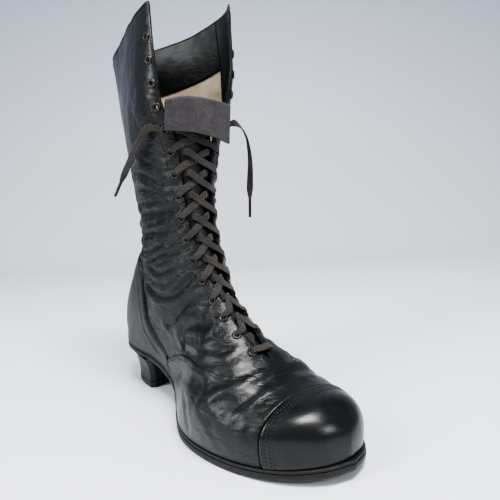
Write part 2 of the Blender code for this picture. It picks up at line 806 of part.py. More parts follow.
def make_tongue():
    """A long strip behind the throat on the upper's own form, its top folded forward and down."""
    rows = list(np.linspace(7.0, TONGUE_LAST_ROW, 15))
    shares = np.linspace(-1, 1, 7)
    sheet = []
    for row in rows:
        line = []
        for share in shares:
            side = LATERAL if share < 0 else MEDIAL
            width = float(TONGUE.at("lateral" if side == LATERAL else "medial", row))
            here, normal, _, _ = surface_frame(row, side, abs(share) * width, laced=True)
            line.append(np.array(here - normal * TONGUE_DEPTH))
        sheet.append(line)
    inside = np.array(sheet[-1])
    outside = np.array(
        [
            (TONGUE_FLAP_X + TONGUE_FLAP_HALF * share, TONGUE_FLAP_T + TONGUE_FLAP_TURN * share, point[2])
            for share, point in zip(shares, inside)
        ]
    )
    for step in range(1, 6):
        angle = math.pi * step / 5
        ahead = (1 - math.cos(angle)) / 2
        up = TONGUE_FOLD_RADIUS * math.sin(angle)
        line = inside * (1 - ahead) + outside * ahead
        sheet.append([p + np.array([0.0, 0.0, up]) for p in line])
    fold = np.array(sheet[-1])
    for part in range(1, 4):
        down = part / 3
        line = []
        for share, p in zip(shares, fold):
            drop = (TONGUE_FLAP + TONGUE_FLAP_TILT * share) * down
            line.append(p + np.array([-TONGUE_FLAP_SLIDE * down, 2.5 * down, -drop]))
        sheet.append(line)
    points = [tuple(p) for line in sheet for p in line]
    wide = len(shares)
    faces = []
    for level in range(len(sheet) - 1):
        for column in range(wide - 1):
            low = level * wide + column
            faces.append((low, low + 1, low + wide + 1, low + wide))
    tongue = mesh_object("tongue", points, faces)
    thicken(tongue, TONGUE_LEATHER, outward=False)
    return finish(smooth_shading(tongue), *SUEDE)


def make_eyelets(places):
    profile = [
        (EYELET_BORE, -WALL - 0.5),
        (EYELET_HOLE - GAP, -WALL - 0.5),
        (EYELET_HOLE - GAP, EYELET_SEAT),
        (EYELET_FLANGE, EYELET_SEAT),
        (EYELET_BORE + 0.6, EYELET_TOP),
    ]
    for side, word in ((LATERAL, "lateral"), (MEDIAL, "medial")):
        for number, (row, arc) in enumerate(reversed(places[side]), start=1):
            here, normal, _, _ = surface_frame(row, side, arc)
            eyelet = ring_at(f"eyelet_{word}_{number:02d}", profile, here, normal, EYELET_SIDES)
            finish(smooth_shading(eyelet), *ENAMEL, 0.6)


def ribbon(name, line, normals, width, thickness):
    """A flat strip along a line, its thickness to both sides of it."""
    points = []
    faces = []
    line = [Vector(p) for p in line]
    for index, here in enumerate(line):
        ahead = (line[min(index + 1, len(line) - 1)] - line[max(index - 1, 0)]).normalized()
        normal = Vector(normals[index])
        normal = (normal - ahead * normal.dot(ahead)).normalized()
        across = ahead.cross(normal)
        for side_step, up_step in ((-1, -1), (1, -1), (1, 1), (-1, 1)):
            points.append(tuple(here + across * side_step * width / 2 + normal * up_step * thickness / 2))
    for index in range(len(line) - 1):
        low = 4 * index
        for corner in range(4):
            beside = (corner + 1) % 4
            faces.append((low + corner, low + beside, low + 4 + beside, low + 4 + corner))
    faces.append((0, 1, 2, 3))
    end = 4 * (len(line) - 1)
    faces.append((end + 3, end + 2, end + 1, end))
    return mesh_object(name, points, faces)


def make_laces(places):
    """The bar between the bottom pair, and the crossings between each pair and the next above."""
    def spot(side, index, lift, along=0.0, down=0.0):
        row, arc = places[side][index]
        arc = arc + along
        if arc < 0:
            side, arc = -side, -arc
        here, normal, up, _ = surface_frame(row, side, arc)
        return here + normal * lift - up * down, normal

    over = EYELET_TOP + GAP + LACE_THICKNESS / 2 + 0.45
    left, left_normal = spot(LATERAL, 0, over)
    right, right_normal = spot(MEDIAL, 0, over)
    middle = (left + right) / 2 + (left_normal + right_normal).normalized() * 1.5
    middle_normal = (left_normal + right_normal).normalized()
    bar = ribbon("lace_bar", [left, middle, right], [left_normal, middle_normal, right_normal], 4.6, LACE_THICKNESS)
    finish(bar, *LACE_BROWN)
    for index in range(1, LACED - 1):
        pieces = []
        for side in (LATERAL, MEDIAL):
            start, start_normal = spot(side, index, over, 0.5)
            edge, edge_normal = spot(side, index, over - 0.1, -EYELET_FROM_EDGE)
            far, far_normal = spot(-side, index + 1, -1.7, -EYELET_FROM_EDGE - 4.6, LACE_STOPS_BELOW)
            middle_normal = (edge_normal + far_normal).normalized()
            edge = edge + (far - edge).normalized() * 1.5
            middle = edge * 0.5 + far * 0.5 + middle_normal * 0.9
            line = [start, edge, middle, far]
            normals = [start_normal, edge_normal, middle_normal, far_normal]
            pieces.append(ribbon(f"lace_crossing_{index + 1:02d}", line, normals, LACE_WIDTH - 1.2, LACE_THICKNESS))
        combine(pieces[0], pieces[1], "UNION", "MANIFOLD")
        finish(pieces[0], *LACE_BROWN)


def tube(name, route, diameter, colour):
    """A round cord along a smooth curve through the route's points."""
    count = max(5, int(length_of(route) / (2.4 * diameter)))
    curve = bpy.data.curves.new(name, "CURVE")
    curve.dimensions = "3D"
    curve.bevel_depth = diameter * MM / 2
    curve.bevel_resolution = 2
    curve.use_fill_caps = True
    line = curve.splines.new("POLY")
    points = through(route, count)
    line.points.add(len(points) - 1)
    for point, where in zip(line.points, points):
        point.co = (*place(*where), 1.0)
    obj = bpy.data.objects.new(name, curve)
    bpy.context.scene.collection.objects.link(obj)
    return finish(obj, *colour)


def length_of(route):
    line = through(route, 60)
    return float(np.linalg.norm(np.diff(line, axis=0), axis=1).sum())


def make_lace_ends(places):
    """Two hanging ends of the lace, from the topmost laced eyelets, each with its metal tip."""
    for side, word, rest in ((LATERAL, "lateral", LATERAL_END), (MEDIAL, "medial", MEDIAL_END)):
        here, normal, _, _ = surface_frame(*places[side][LACED - 1][:1], side, places[side][LACED - 1][1])
        lift = EYELET_TOP + GAP + LACE_END_DIAMETER / 2 + 0.35
        route = [tuple(here + normal * lift)] + rest
        tube(f"lace_end_{word}", route, LACE_END_DIAMETER, LACE_BROWN)
        tip = np.array(route[-1])
        ahead = tip - np.array(route[-2])
        ahead /= np.linalg.norm(ahead)
        start = tip + ahead * GAP
        half = start + ahead * AGLET_LENGTH / 2
        end = start + ahead * AGLET_LENGTH
        tube(f"aglet_{word}", [start, half, end], AGLET_DIAMETER, ENAMEL)


def main():
    for obj in list(bpy.data.objects):
        bpy.data.objects.remove(obj)
    places = eyelet_places()
    make_upper(places)
    make_overlays()
    make_tongue()
    make_eyelets(places)
    make_laces(places)
    make_lace_ends(places)
    outsole = plate("outsole", outline(sole_margin, 64), sole_bottom, sole_top, OUTSOLE_CHAMFER)
    finish(smooth_shading(outsole), *SOLE_BLACK)
    make_welt()
    insole = plate("insole", outline(-INSOLE_INSET, 56), insole_bottom, insole_top)
    finish(smooth_shading(insole), *TAN)
    make_heel()


main()
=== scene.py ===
"""The looks of the lace-up boot: creased leather, overlays, stitching, eyelets, laces, lining and sole.

Tables are in millimetres, as in the boot's own source: t runs from the back of the heel seat towards
the toe, x is negative on the outer (lateral) side, z is up from the floor. Meshes are in metres, in the
frame's axes.
"""

import math

import bmesh
import bpy
import numpy as np
from mathutils import Matrix, Vector


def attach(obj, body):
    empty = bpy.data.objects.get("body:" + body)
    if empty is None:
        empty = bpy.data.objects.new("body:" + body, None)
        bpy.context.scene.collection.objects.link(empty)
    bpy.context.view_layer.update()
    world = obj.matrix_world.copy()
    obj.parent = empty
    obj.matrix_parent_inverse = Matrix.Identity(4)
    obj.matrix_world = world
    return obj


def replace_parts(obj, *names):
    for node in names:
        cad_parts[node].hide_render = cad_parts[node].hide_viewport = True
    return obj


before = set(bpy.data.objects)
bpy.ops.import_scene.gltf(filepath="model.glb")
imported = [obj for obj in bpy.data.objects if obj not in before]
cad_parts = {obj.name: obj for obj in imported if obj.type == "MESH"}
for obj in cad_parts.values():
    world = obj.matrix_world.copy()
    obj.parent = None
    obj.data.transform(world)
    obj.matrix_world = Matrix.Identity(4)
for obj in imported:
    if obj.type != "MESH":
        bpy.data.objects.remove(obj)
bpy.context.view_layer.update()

MM = 0.001
HEEL_CENTRE_T = 28.0
LATERAL = -1
MEDIAL = 1
SIDES = ((LATERAL, "lateral"), (MEDIAL, "medial"))

# The camera, as the photograph was taken
CAMERA_AT = (-0.1849, -0.3786, 0.1613)
CAMERA_AZIMUTH = math.radians(-38.26)
CAMERA_PITCH = math.radians(6.31)
CAMERA_ROLL = math.radians(-2.63)
CAMERA_LENS = 32.15

# Leather and its layers
OVERLAY_LIFT = 0.35
VAMP_LEATHER = 0.9
CAP_LEATHER = 1.5
COUNTER_LEATHER = 1.0
OUTER_LEATHER = 1.15
LINING_DEPTH = 1.3
LINING_SLACK = 0.9
LINING_THICKNESS = 0.45
FACING_DEPTH = 1.85
FACING_THICKNESS = 0.3
TOP_BAND = 36.0
FACING_WIDTH = 24.0
TONGUE_DEPTH = 4.2
TONGUE_LEATHER = 1.2
OUTSOLE_LEATHER = 4.2
WELT_LEATHER = 2.0
SOLE_GAP = 0.3
SOLE_SAMPLES = 420
TOP_ROW_HEIGHT = 21.5
ROW_HEIGHT = 22.0
FACING_BELOW_BAND = 0.34

# Cut edges: how far in they are rounded, and how the layers end there
EDGE_ROUND = 1.1
EDGE_STEPS = np.array([0, 0.25, 0.6, EDGE_ROUND])
EDGE_LIFT = 0.05
INNER_FROM = 1.9
RIM_ROWS = 0.16
RIM_DROP = 0.3
COUNTER_TOP = 125.9
BELOW_SEAT = 0.0002

# The tip of the toe, where the cap is smoothed
TIP_FROM_T = 239.0
TIP_X = 5
TIP_HALF = 13

# Mesh clean-up, in metres
MERGED_UNDER = 2e-6
FLAT_UNDER = 1e-6

# Eyelets and lace
EYELETS = 16
LACED = 12
EYELET_PITCH = 16.6
EYELET_FROM_EDGE = 5.2
BOTTOM_EYELET_RISE = 9.0
EYELET_HOLE = 2.35
EYELET_BORE = 1.55
EYELET_FLANGE = 3.5
HOLE_DEPTHS = (-4.0, 2.5)
HOLE_SIDES = 16
LACE_WIDTH = 5.2
LACE_THICKNESS = 0.9
LACE_HALF_PROFILE = [
    (-0.5, 0.0), (-0.47, 0.36), (-0.36, 0.5), (-0.18, 0.44), (0, 0.5), (0.18, 0.44), (0.36, 0.5),
    (0.47, 0.36),
]
BAR_WIDTHS = [2.4, 2.6, 4.4, 4.9]
BAR_THICKS = [1.5, 1.5, 1.2, 1.1]


def linked(name, data):
    """A new object in the scene."""
    obj = bpy.data.objects.new(name, data)
    bpy.context.scene.collection.objects.link(obj)
    return obj


def camera():
    """The photograph's viewpoint."""
    ahead = Vector(
        (
            -math.sin(CAMERA_AZIMUTH) * math.cos(CAMERA_PITCH),
            math.cos(CAMERA_AZIMUTH) * math.cos(CAMERA_PITCH),
            -math.sin(CAMERA_PITCH),
        )
    )
    level = ahead.cross(Vector((0, 0, 1))).normalized()
    above = level.cross(ahead)
    right = level * math.cos(CAMERA_ROLL) + above * math.sin(CAMERA_ROLL)
    up = above * math.cos(CAMERA_ROLL) - level * math.sin(CAMERA_ROLL)
    turn = Matrix((right, up, -ahead)).transposed().to_4x4()
    turn.translation = Vector(CAMERA_AT)
    lens = bpy.data.cameras.new("camera")
    lens.lens = CAMERA_LENS
    lens.sensor_width = 36
    lens.clip_start = 0.01
    obj = linked("camera", lens)
    obj.matrix_world = turn
    bpy.context.scene.camera = obj


camera()


class Table:
    """Rows with named columns, read between the rows on smooth curves that never overshoot."""

    def __init__(self, columns, rows):
        self.columns = columns.split()
        self.values = np.array(rows, float)
        self.knots = self.values[:, 0]

    def at(self, column, where):
        return smooth(self.knots, self.values[:, self.columns.index(column)], where)


def smooth(knots, values, where):
    """Monotone cubic through the values, at one place or at many."""
    step = np.diff(knots)
    rise = np.diff(values) / step
    slope = np.zeros_like(values)
    slope[0] = rise[0]
    slope[-1] = rise[-1]
    same_way = rise[:-1] * rise[1:] > 0
    before = step[:-1] + 2 * step[1:]
    after = 2 * step[:-1] + step[1:]
    safe = np.where(same_way, rise[:-1] * rise[1:], 1.0)
    mean = (before + after) * safe / (before * rise[1:] + after * rise[:-1] + (~same_way) * 1e9)
    slope[1:-1] = np.where(same_way, mean, 0.0)
    return hermite(knots, values, slope, np.clip(where, knots[0], knots[-1]))


def hermite(knots, values, slope, where):
    """Cubic through values at knots, with these slopes there."""
    span = np.clip(np.searchsorted(knots, where, side="right") - 1, 0, len(knots) - 2)
    step = np.diff(knots)[span]
    share = (where - knots[span]) / step
    start = values[span] * (1 + 2 * share) * (1 - share) ** 2
    end = values[span + 1] * share**2 * (3 - 2 * share)
    lean = slope[span] * share * (1 - share) ** 2 - slope[span + 1] * share**2 * (1 - share)
    return start + end + lean * step


def distances(points):
    """How far along a line each of its points lies."""
    return np.concatenate([[0], np.cumsum(np.linalg.norm(np.diff(points, axis=0), axis=1))])


def resample(points, along, places):
    """Points at some places along a line."""
    return np.array([np.interp(places, along, axis) for axis in points.T]).T


def unit(vector):
    return vector / np.linalg.norm(vector)


def ramp(values):
    return np.clip(values, 0, 1)


def spokes(first, second, sides):
    """Directions all round, from the first axis through the second."""
    for step in range(sides):
        angle = 2 * math.pi * step / sides
        yield first * math.cos(angle) + second * math.sin(angle)


def end_caps(count, levels, start=0):
    """The faces that close the first and the last of some rings."""
    last = start + (levels - 1) * count
    return [tuple(range(start, start + count))[::-1], tuple(range(last, last + count))]


def ring_faces(count, levels, start=0, closed=False):
    """Faces between rings of points, each ring joined to the next."""
    faces = []
    for level in range(levels if closed else levels - 1):
        low = start + level * count
        high = start + (level + 1) % levels * count
        for corner in range(count):
            beside = (corner + 1) % count
            faces.append((low + corner, low + beside, high + beside, high + corner))
    return faces


def through(points, samples):
    """Points evenly spaced along a smooth curve through the given ones."""
    points = np.array(points, float)
    reach = distances(points)
    dense = np.linspace(0, reach[-1], 40 * len(points))
    curve = np.array([hermite(reach, axis, np.gradient(axis, reach), dense) for axis in points.T]).T
    along = distances(curve)
    return resample(curve, along, np.linspace(0, along[-1], samples))


# The sole's underside: height above the floor along the boot
SOLE_BOTTOM = Table(
    "t height",
    [
        (-20, 36.9), (0, 34.8), (58, 28.7), (65, 27.1), (72, 24.4), (88, 17.0), (104, 9.8), (120, 4.2),
        (136, 1.0), (150, 0.0), (196, 0.0), (212, 0.7), (228, 2.2), (242, 4.2), (262, 7.6),
    ],
)

# The feather line, where the upper meets the sole, from the back of the heel to the toe
FEATHER_LATERAL = [
    (0, 0), (2.2, -11), (8, -19.5), (18, -25.5), (32, -28), (48, -27), (64, -24), (80, -21.5),
    (95, -22.5), (110, -28.5), (125, -36.5), (140, -43), (155, -46), (172, -46), (190, -43),
    (207, -37.5), (222, -30), (235, -20), (244, -9), (249, 5),
]
FEATHER_MEDIAL = [
    (0, 0), (2, 10), (7, 18), (16, 24.5), (30, 27.5), (46, 26.5), (62, 23), (78, 19.5), (94, 18),
    (110, 19.5), (126, 24), (143, 30.5), (160, 36.5), (176, 40), (193, 41), (210, 39.5), (226, 35),
    (238, 28), (245.5, 18), (249, 5),
]

# The outsole's margin beyond the feather line
SOLE_MARGIN = Table(
    "t margin",
    [(-5, 1.2), (60, 1.4), (100, 1.8), (140, 2.2), (180, 2.5), (215, 2.9), (240, 3.6), (250, 4.4)],
)

# The upper, a row for each section from the toe to the rim
SECTIONS = Table(
    "row front_t front_z back_t rise ease_lateral ease_medial widest front_power back_power front_x back_x",
    [
        (0, 249.4, 20.5, 249.0, 0, 0, 0, 0.50, 2.0, 2.0, 5.0, 0),
        (1, 247.2, 27.5, 246.6, 0, 0.4, 0.4, 0.60, 2.2, 2.4, 5.0, 0),
        (2, 241.5, 34.6, 240.5, 0, 0.9, 0.9, 0.62, 2.3, 2.6, 4.8, 0),
        (3, 232.0, 39.6, 231.0, 0, 1.3, 1.3, 0.62, 2.3, 2.6, 4.5, 0),
        (4, 220.5, 41.4, 219.0, 0, 1.5, 1.5, 0.62, 2.2, 2.6, 4.0, 0),
        (5, 209.0, 43.6, 205.0, 0, 1.6, 1.6, 0.62, 2.1, 2.6, 3.0, 0),
        (6, 197.0, 49.4, 189.0, 0, 1.6, 1.4, 0.64, 2.0, 2.6, 1.5, 0),
        (7, 184.0, 59.0, 171.0, 0, 1.4, 1.2, 0.68, 1.9, 2.6, 0.0, 0),
        (8, 171.0, 69.5, 151.0, 0, 1.2, 1.0, 0.72, 1.8, 2.6, -1.0, 0),
        (9, 157.5, 82.0, 129.0, 0, 1.2, 1.4, 0.74, 1.8, 2.6, -1.6, 0),
        (10, 145.5, 95.5, 105.0, 0, 2.4, 3.4, 0.70, 1.9, 2.6, -2.0, 0),
        (11, 136.0, 109.0, 80.0, 0, 4.6, 5.2, 0.64, 2.0, 2.6, -2.4, 0),
        (12, 129.0, 122.0, 55.0, 0, 2.8, 2.8, 0.60, 2.1, 2.7, -2.6, 0),
        (13, 124.5, 134.0, 30.0, 0, 1.0, 1.0, 0.56, 2.2, 3.1, -2.8, 0),
        (14, 121.5, 145.0, 10.0, 0, 0.4, 0.6, 0.54, 2.2, 3.3, -3.0, 0),
        (15, 119.5, 154.0, 0.0, 0, 0.0, 0.4, 0.52, 2.3, 3.2, -3.0, 0),
        (16, 118.0, 163.0, -2.5, 14, -1.2, 0.0, 0.50, 2.4, 2.8, -3.0, 0.5),
        (17, 116.8, 173.0, 3.0, 32, -3.2, -0.4, 0.48, 2.4, 2.2, -3.0, 1.0),
        (18, 116.0, 184.0, 16.0, 52, -4.2, -0.4, 0.46, 2.5, 1.9, -3.0, 2.0),
        (19, 115.5, 196.0, 23.0, 76, -3.6, 0.2, 0.44, 2.5, 1.7, -3.0, 2.0),
        (20, 115.2, 210.0, 22.0, 106, -2.2, 0.8, 0.42, 2.6, 1.7, -3.0, 0.5),
        (21, 115.0, 225.0, 16.0, 138, -0.6, 1.6, 0.42, 2.6, 1.7, -3.0, -1.5),
        (22, 115.0, 243.0, 8.0, 172, 0.4, 2.6, 0.42, 2.6, 1.6, -2.5, -4.0),
        (23, 114.5, 262.0, -1.0, 204, -1.0, 2.6, 0.42, 2.6, 1.5, -2.0, -6.5),
        (24, 113.5, 284.0, -6.5, 234, -4.5, 1.0, 0.42, 2.6, 1.4, -2.0, -8.5),
        (25, 112.0, 306.0, -9.0, 257, -8.0, 0.0, 0.42, 2.6, 1.4, -2.0, -10.0),
    ],
)
LAST_ROW = 25.0
LINING_FIRST_ROW = 7.0
FACING_FIRST_ROW = 8.0
COUNTER_ROWS = (10.6, 19.8)
COUNTER_SEAM_ROWS = (11.4, 19.2)

# The throat: how far its edge lies from the front line, and how far the unlaced flaps stand open
THROAT_ROW = 6.75
THROAT = Table(
    "row half_gap splay_lateral splay_medial raise_medial",
    [
        (6.75, 0.0, 0, 0, 0), (7.4, 3.2, 0, 0, 0), (8.5, 5.0, 0, 0, 0), (10, 7.0, 0, 0, 0),
        (12, 9.4, 0, 0, 0), (15, 12.0, 0, 0, 0), (18, 13.0, 0, 1.0, 0.5), (20, 13.5, 2.0, 6.0, 2.0),
        (21, 14.0, 7.0, 14.0, 3.5), (22, 14.0, 12.0, 22.0, 5.5), (23, 14.0, 14.0, 26.0, 8.0),
        (24, 14.0, 15.5, 28.0, 10.0), (25, 14.0, 16.5, 30.0, 12.0),
    ],
)
SPLAY_SHARE = 0.8
LEVEL_OF_WIDEST_SEAT = 32.0

# Seams in side view, as t and z
VAMP_SEAM = [
    (84, 14), (87, 28), (91, 37), (100, 43), (112, 47.5), (130, 52), (144, 53.4), (160, 52.4), (176, 51),
    (190, 51), (206, 52.5),
]
VAMP_SIDE_T = 92
CAP_SEAM_T = 216.5
COUNTER_SEAM = [
    (92.4, 40.4), (86, 46), (77, 56), (70, 66), (66, 76), (63.5, 89), (61, 102), (55, 113), (44, 120),
    (26, 124), (-12, 126),
]

# The tongue: how wide it is to each side of the front line, and the fold at its top
TONGUE = Table(
    "row lateral medial",
    [(7.0, 9, 9), (8.5, 14, 14), (11, 19, 19), (15, 23, 23), (19, 24, 25), (21.7, 24, 26)],
)
TONGUE_LAST_ROW = 21.7
TONGUE_FOLD_RADIUS = 3.0
TONGUE_FLAP = 25.0
TONGUE_FLAP_TILT = 4.0
TONGUE_FLAP_HALF = 27.0
TONGUE_FLAP_X = 1.5
TONGUE_FLAP_T = 117.5
TONGUE_FLAP_TURN = 2.5
TONGUE_FLAP_SLIDE = 4.0

# The hanging lace ends after their eyelets, as x, t and z
LATERAL_END = [
    (-33.0, 101.5, 217.2), (-35.5, 91.0, 209.8), (-36.5, 78.5, 200.5), (-36.5, 69.0, 193.5),
    (-37.5, 61.4, 186.2), (-38.1, 56.0, 181.0),
]
MEDIAL_END = [
    (38.0, 112.0, 223.8), (42.0, 113.5, 221.0), (45.5, 116.0, 213.4), (46.6, 117.5, 203.6),
    (47.0, 118.0, 190.0), (47.0, 117.0, 179.6), (47.0, 116.0, 170.0), (47.0, 115.6, 163.5),
]
AGLET_LENGTH = 16.0
AGLET_RADIUS = 1.25

# Creases, on the outer side and mirrored on the inner side: depth and width, then t and z along each
CREASES = [
    (0.9, 3.2, [(109, 176), (98, 175), (79, 183), (57, 188), (40, 186)]),
    (0.7, 2.8, [(110, 166), (97, 168), (83, 172), (58, 174), (36, 170)]),
    (1.0, 3.4, [(107, 158), (90, 156), (63, 154), (34, 152), (18, 158)]),
    (0.9, 3.0, [(111, 145), (100, 142), (77, 139), (50, 138), (22, 146)]),
    (0.7, 2.6, [(114, 135), (103, 131), (88, 129), (61, 123), (44, 128)]),
    (0.8, 2.6, [(118, 128), (107, 125), (92, 123), (74, 116)]),
    (1.1, 2.8, [(129, 113), (121, 112), (107, 113), (88, 108), (74, 112)]),
    (1.3, 3.2, [(124, 107), (114, 98), (109, 94), (84, 91), (70, 96)]),
    (1.0, 3.0, [(140, 91), (121, 88), (114, 81), (108, 74), (98, 68)]),
    (0.9, 3.6, [(147, 75), (129, 73), (116, 64), (121, 58)]),
    (0.7, 3.0, [(169, 64), (159, 63), (147, 57), (123, 54)]),
    (0.5, 2.2, [(104, 196), (90, 201), (70, 204)]),
    (0.5, 2.4, [(106, 186), (92, 190), (78, 196), (64, 206)]),
    (0.4, 1.8, [(100, 149), (84, 148), (70, 146)]),
    (0.4, 1.8, [(104, 118), (94, 117), (84, 114)]),
    (0.5, 2.0, [(98, 163), (84, 164), (74, 162)]),
    (0.6, 2.4, [(60, 160), (40, 163), (22, 168)]),
    (0.5, 2.2, [(58, 131), (42, 136), (26, 134)]),
]
VAMP_CREASES = [
    (1.3, 4.2, [(92, 29), (110, 33), (139, 41), (161, 44), (167, 38)]),
    (1.3, 3.8, [(161, 45), (174, 47), (179, 49), (186, 50)]),
    (1.0, 3.4, [(165, 44), (175, 42), (180, 47)]),
    (1.0, 3.6, [(186, 39), (194, 40), (199, 43), (198, 47)]),
    (0.8, 2.8, [(195, 33), (198, 38), (205, 39)]),
    (0.7, 2.4, [(210, 27), (214, 22)]),
    (0.7, 2.8, [(150, 33), (158, 24), (160, 16)]),
    (0.6, 2.6, [(176, 36), (184, 30), (186, 22)]),
]

CREASE_LOOKS = ((CREASES, 1.35, 0.78), (VAMP_CREASES, 0.62, 0.95))

# Soft swellings and hollows on both sides: height, width, t and z
SWELLS = [
    (1.1, 13.0, 172, 27), (-0.9, 9.0, 160, 36), (0.9, 10.0, 150, 64), (0.7, 9.0, 130, 80),
    (-0.6, 8.0, 118, 92), (0.8, 12.0, 90, 78), (-0.8, 12.0, 80, 214), (0.9, 12.0, 92, 238),
    (-0.8, 14.0, 60, 256), (0.6, 12.0, 40, 216),
]


def place(points):
    """Points of the tables, as x, t and z, in the frame's axes and in metres."""
    points = np.atleast_2d(np.asarray(points, float))
    return np.stack([points[:, 0], HEEL_CENTRE_T - points[:, 1], points[:, 2]], axis=1) * MM


def sole_bottom(t):
    return SOLE_BOTTOM.at("height", t)


def seat(t):
    """Height of the upper's lower edge, on the welt."""
    return sole_bottom(t) + OUTSOLE_LEATHER + SOLE_GAP + WELT_LEATHER + SOLE_GAP


FEATHER = {LATERAL: through(FEATHER_LATERAL, 240), MEDIAL: through(FEATHER_MEDIAL, 240)}


def feather_x(side, t):
    line = FEATHER[side]
    order = np.argsort(line[:, 0], kind="stable")
    return float(np.interp(t, line[order, 0], line[order, 1]))


def half_section(row, side, laced=False):
    """Half a section of the upper's outer face, from the front line to the sole or the back."""
    read = {name: float(SECTIONS.at(name, row)) for name in SECTIONS.columns}
    ease = read["ease_lateral"] if side == LATERAL else read["ease_medial"]
    splay = 0.0 if laced else float(THROAT.at("splay_lateral" if side == LATERAL else "splay_medial", row))
    back_z = float(seat(max(read["back_t"], 0.0))) + read["rise"]
    reach = feather_x(side, max(read["back_t"], LEVEL_OF_WIDEST_SEAT)) + side * ease
    on_sole = read["rise"] < 0.01
    base = feather_x(side, read["back_t"]) if on_sole else read["back_x"]
    front_x, back_x, widest = read["front_x"], read["back_x"], read["widest"]
    turn = np.linspace(0, math.pi / 2, 73)
    front_share = widest * (1 - np.cos(turn))
    power = read["front_power"]
    front_width = (1 - np.cos(turn) ** power) ** (1 / power)
    front_line = front_x + (reach - front_x) * front_width
    power = read["back_power"]
    span = reach - back_x
    ratio = min(max((base - back_x) / span, 0.0), 0.999) if abs(span) > 1e-6 else 0.999
    closing = (1 - ratio**power) ** (1 / power)
    back_share = widest + (1 - widest) * np.sin(turn)
    back_width = (1 - (np.sin(turn) * closing) ** power) ** (1 / power)
    back_line = back_x + span * back_width
    share = np.concatenate([front_share, back_share[1:]])
    x = np.concatenate([front_line, back_line[1:]])
    ahead = ramp(1 - share / SPLAY_SHARE) ** 1.6
    x = x + side * splay * ahead
    t = read["front_t"] + (read["back_t"] - read["front_t"]) * share
    z = read["front_z"] + (back_z - read["front_z"]) * share
    if side == MEDIAL and not laced:
        z = z + float(THROAT.at("raise_medial", row)) * ahead
    return np.stack([x, t, z], axis=1)


def blend_at(grid, rows, shares):
    """Values of a fine grid between its points."""
    u = ramp(rows / LAST_ROW) * (grid.shape[0] - 1)
    v = ramp(shares) * (grid.shape[1] - 1)
    i = np.minimum(u.astype(int), grid.shape[0] - 2)
    j = np.minimum(v.astype(int), grid.shape[1] - 2)
    a, b = (u - i)[..., None], (v - j)[..., None]
    low = grid[i, j] * (1 - b) + grid[i, j + 1] * b
    high = grid[i + 1, j] * (1 - b) + grid[i + 1, j + 1] * b
    return low * (1 - a) + high * a


class Skin:
    """One side of the upper's outer face, sampled finely, with its outward normals."""

    def __init__(self, side, laced=False):
        self.rows = np.linspace(0, LAST_ROW, 501)
        shares = np.linspace(0, 1, 241)
        lines = []
        lengths = []
        for row in self.rows:
            line = half_section(row, side, laced)
            along = distances(line)
            lengths.append(along[-1])
            lines.append(resample(line, along, shares * along[-1]))
        self.points = np.array(lines)
        self.lengths = np.array(lengths)
        up = np.gradient(self.points, axis=0)
        away = np.gradient(self.points, axis=1)
        normals = np.cross(up, away) * side
        size = np.linalg.norm(normals, axis=2, keepdims=True)
        normals = normals / np.maximum(size, 1e-9)
        normals[0] = normals[2]
        normals[1] = normals[2]
        self.normals = normals

    def length(self, rows):
        return np.interp(rows, self.rows, self.lengths)

    def spot(self, rows, arcs):
        """Points and normals at these sections, and distances from the front line."""
        rows, arcs = np.asarray(rows, float), np.asarray(arcs, float)
        shares = arcs / self.length(rows)
        normals = blend_at(self.normals, rows, shares)
        normals = normals / np.linalg.norm(normals, axis=-1, keepdims=True)
        return blend_at(self.points, rows, shares), normals


SKIN = {side: Skin(side) for side, _ in SIDES}
LACED_SKIN = {side: Skin(side, laced=True) for side, _ in SIDES}
TIP_ROWS = 14
for skins in (SKIN, LACED_SKIN):
    outer, inner = skins[LATERAL], skins[MEDIAL]
    shared = outer.normals + inner.normals
    shared /= np.maximum(np.linalg.norm(shared, axis=2, keepdims=True), 1e-9)
    together = np.linalg.norm(outer.points - inner.points, axis=2) < 0.05
    together[:, 0] = True
    ease_off = ramp(np.arange(len(outer.rows)) / TIP_ROWS)[:, None, None]
    for skin in skins.values():
        skin.normals = np.where(together[..., None], shared, skin.normals)
        tip = shared * (1 - ease_off) + skin.normals * ease_off
        skin.normals = tip / np.linalg.norm(tip, axis=2, keepdims=True)


def throat_gap(rows):
    rows = np.asarray(rows, float)
    return np.where(rows >= THROAT_ROW, THROAT.at("half_gap", rows), 0.0)


def distance_to_line(points, line):
    """Distance in mm from each point, as t and z, to a line through some others."""
    best = np.full(len(points), 1e9)
    for start, end in zip(line[:-1], line[1:]):
        along = end - start
        share = ramp(((points - start) @ along) / max(along @ along, 1e-9))
        best = np.minimum(best, np.linalg.norm(points - start - share[:, None] * along, axis=1))
    return best


RIPPLES = np.random.default_rng(11)
RIPPLE_WAVES = [
    (RIPPLES.normal(size=3) * 2 * math.pi / RIPPLES.uniform(14, 46), RIPPLES.uniform(0, 6.3))
    for _ in range(26)
]
RIPPLE_HEIGHT = 0.16
RIPPLE_MIDDLE_Z = 150
RIPPLE_SPREAD_Z = 60
CREASE_LIP = 0.55
CREASE_LIP_AT = 1.9

# Where the leather is calmer: on the toe cap, on the heel counter and near the welt
CALM_TOE = 0.92
CALM_TOE_T = 206
CALM_HEEL = 0.75
CALM_HEEL_T = 66
CALM_HEEL_Z = 122
CALM_FADE = 12
CALM_HEEL_FADE = 8
CALM_WELT_FADE = 7


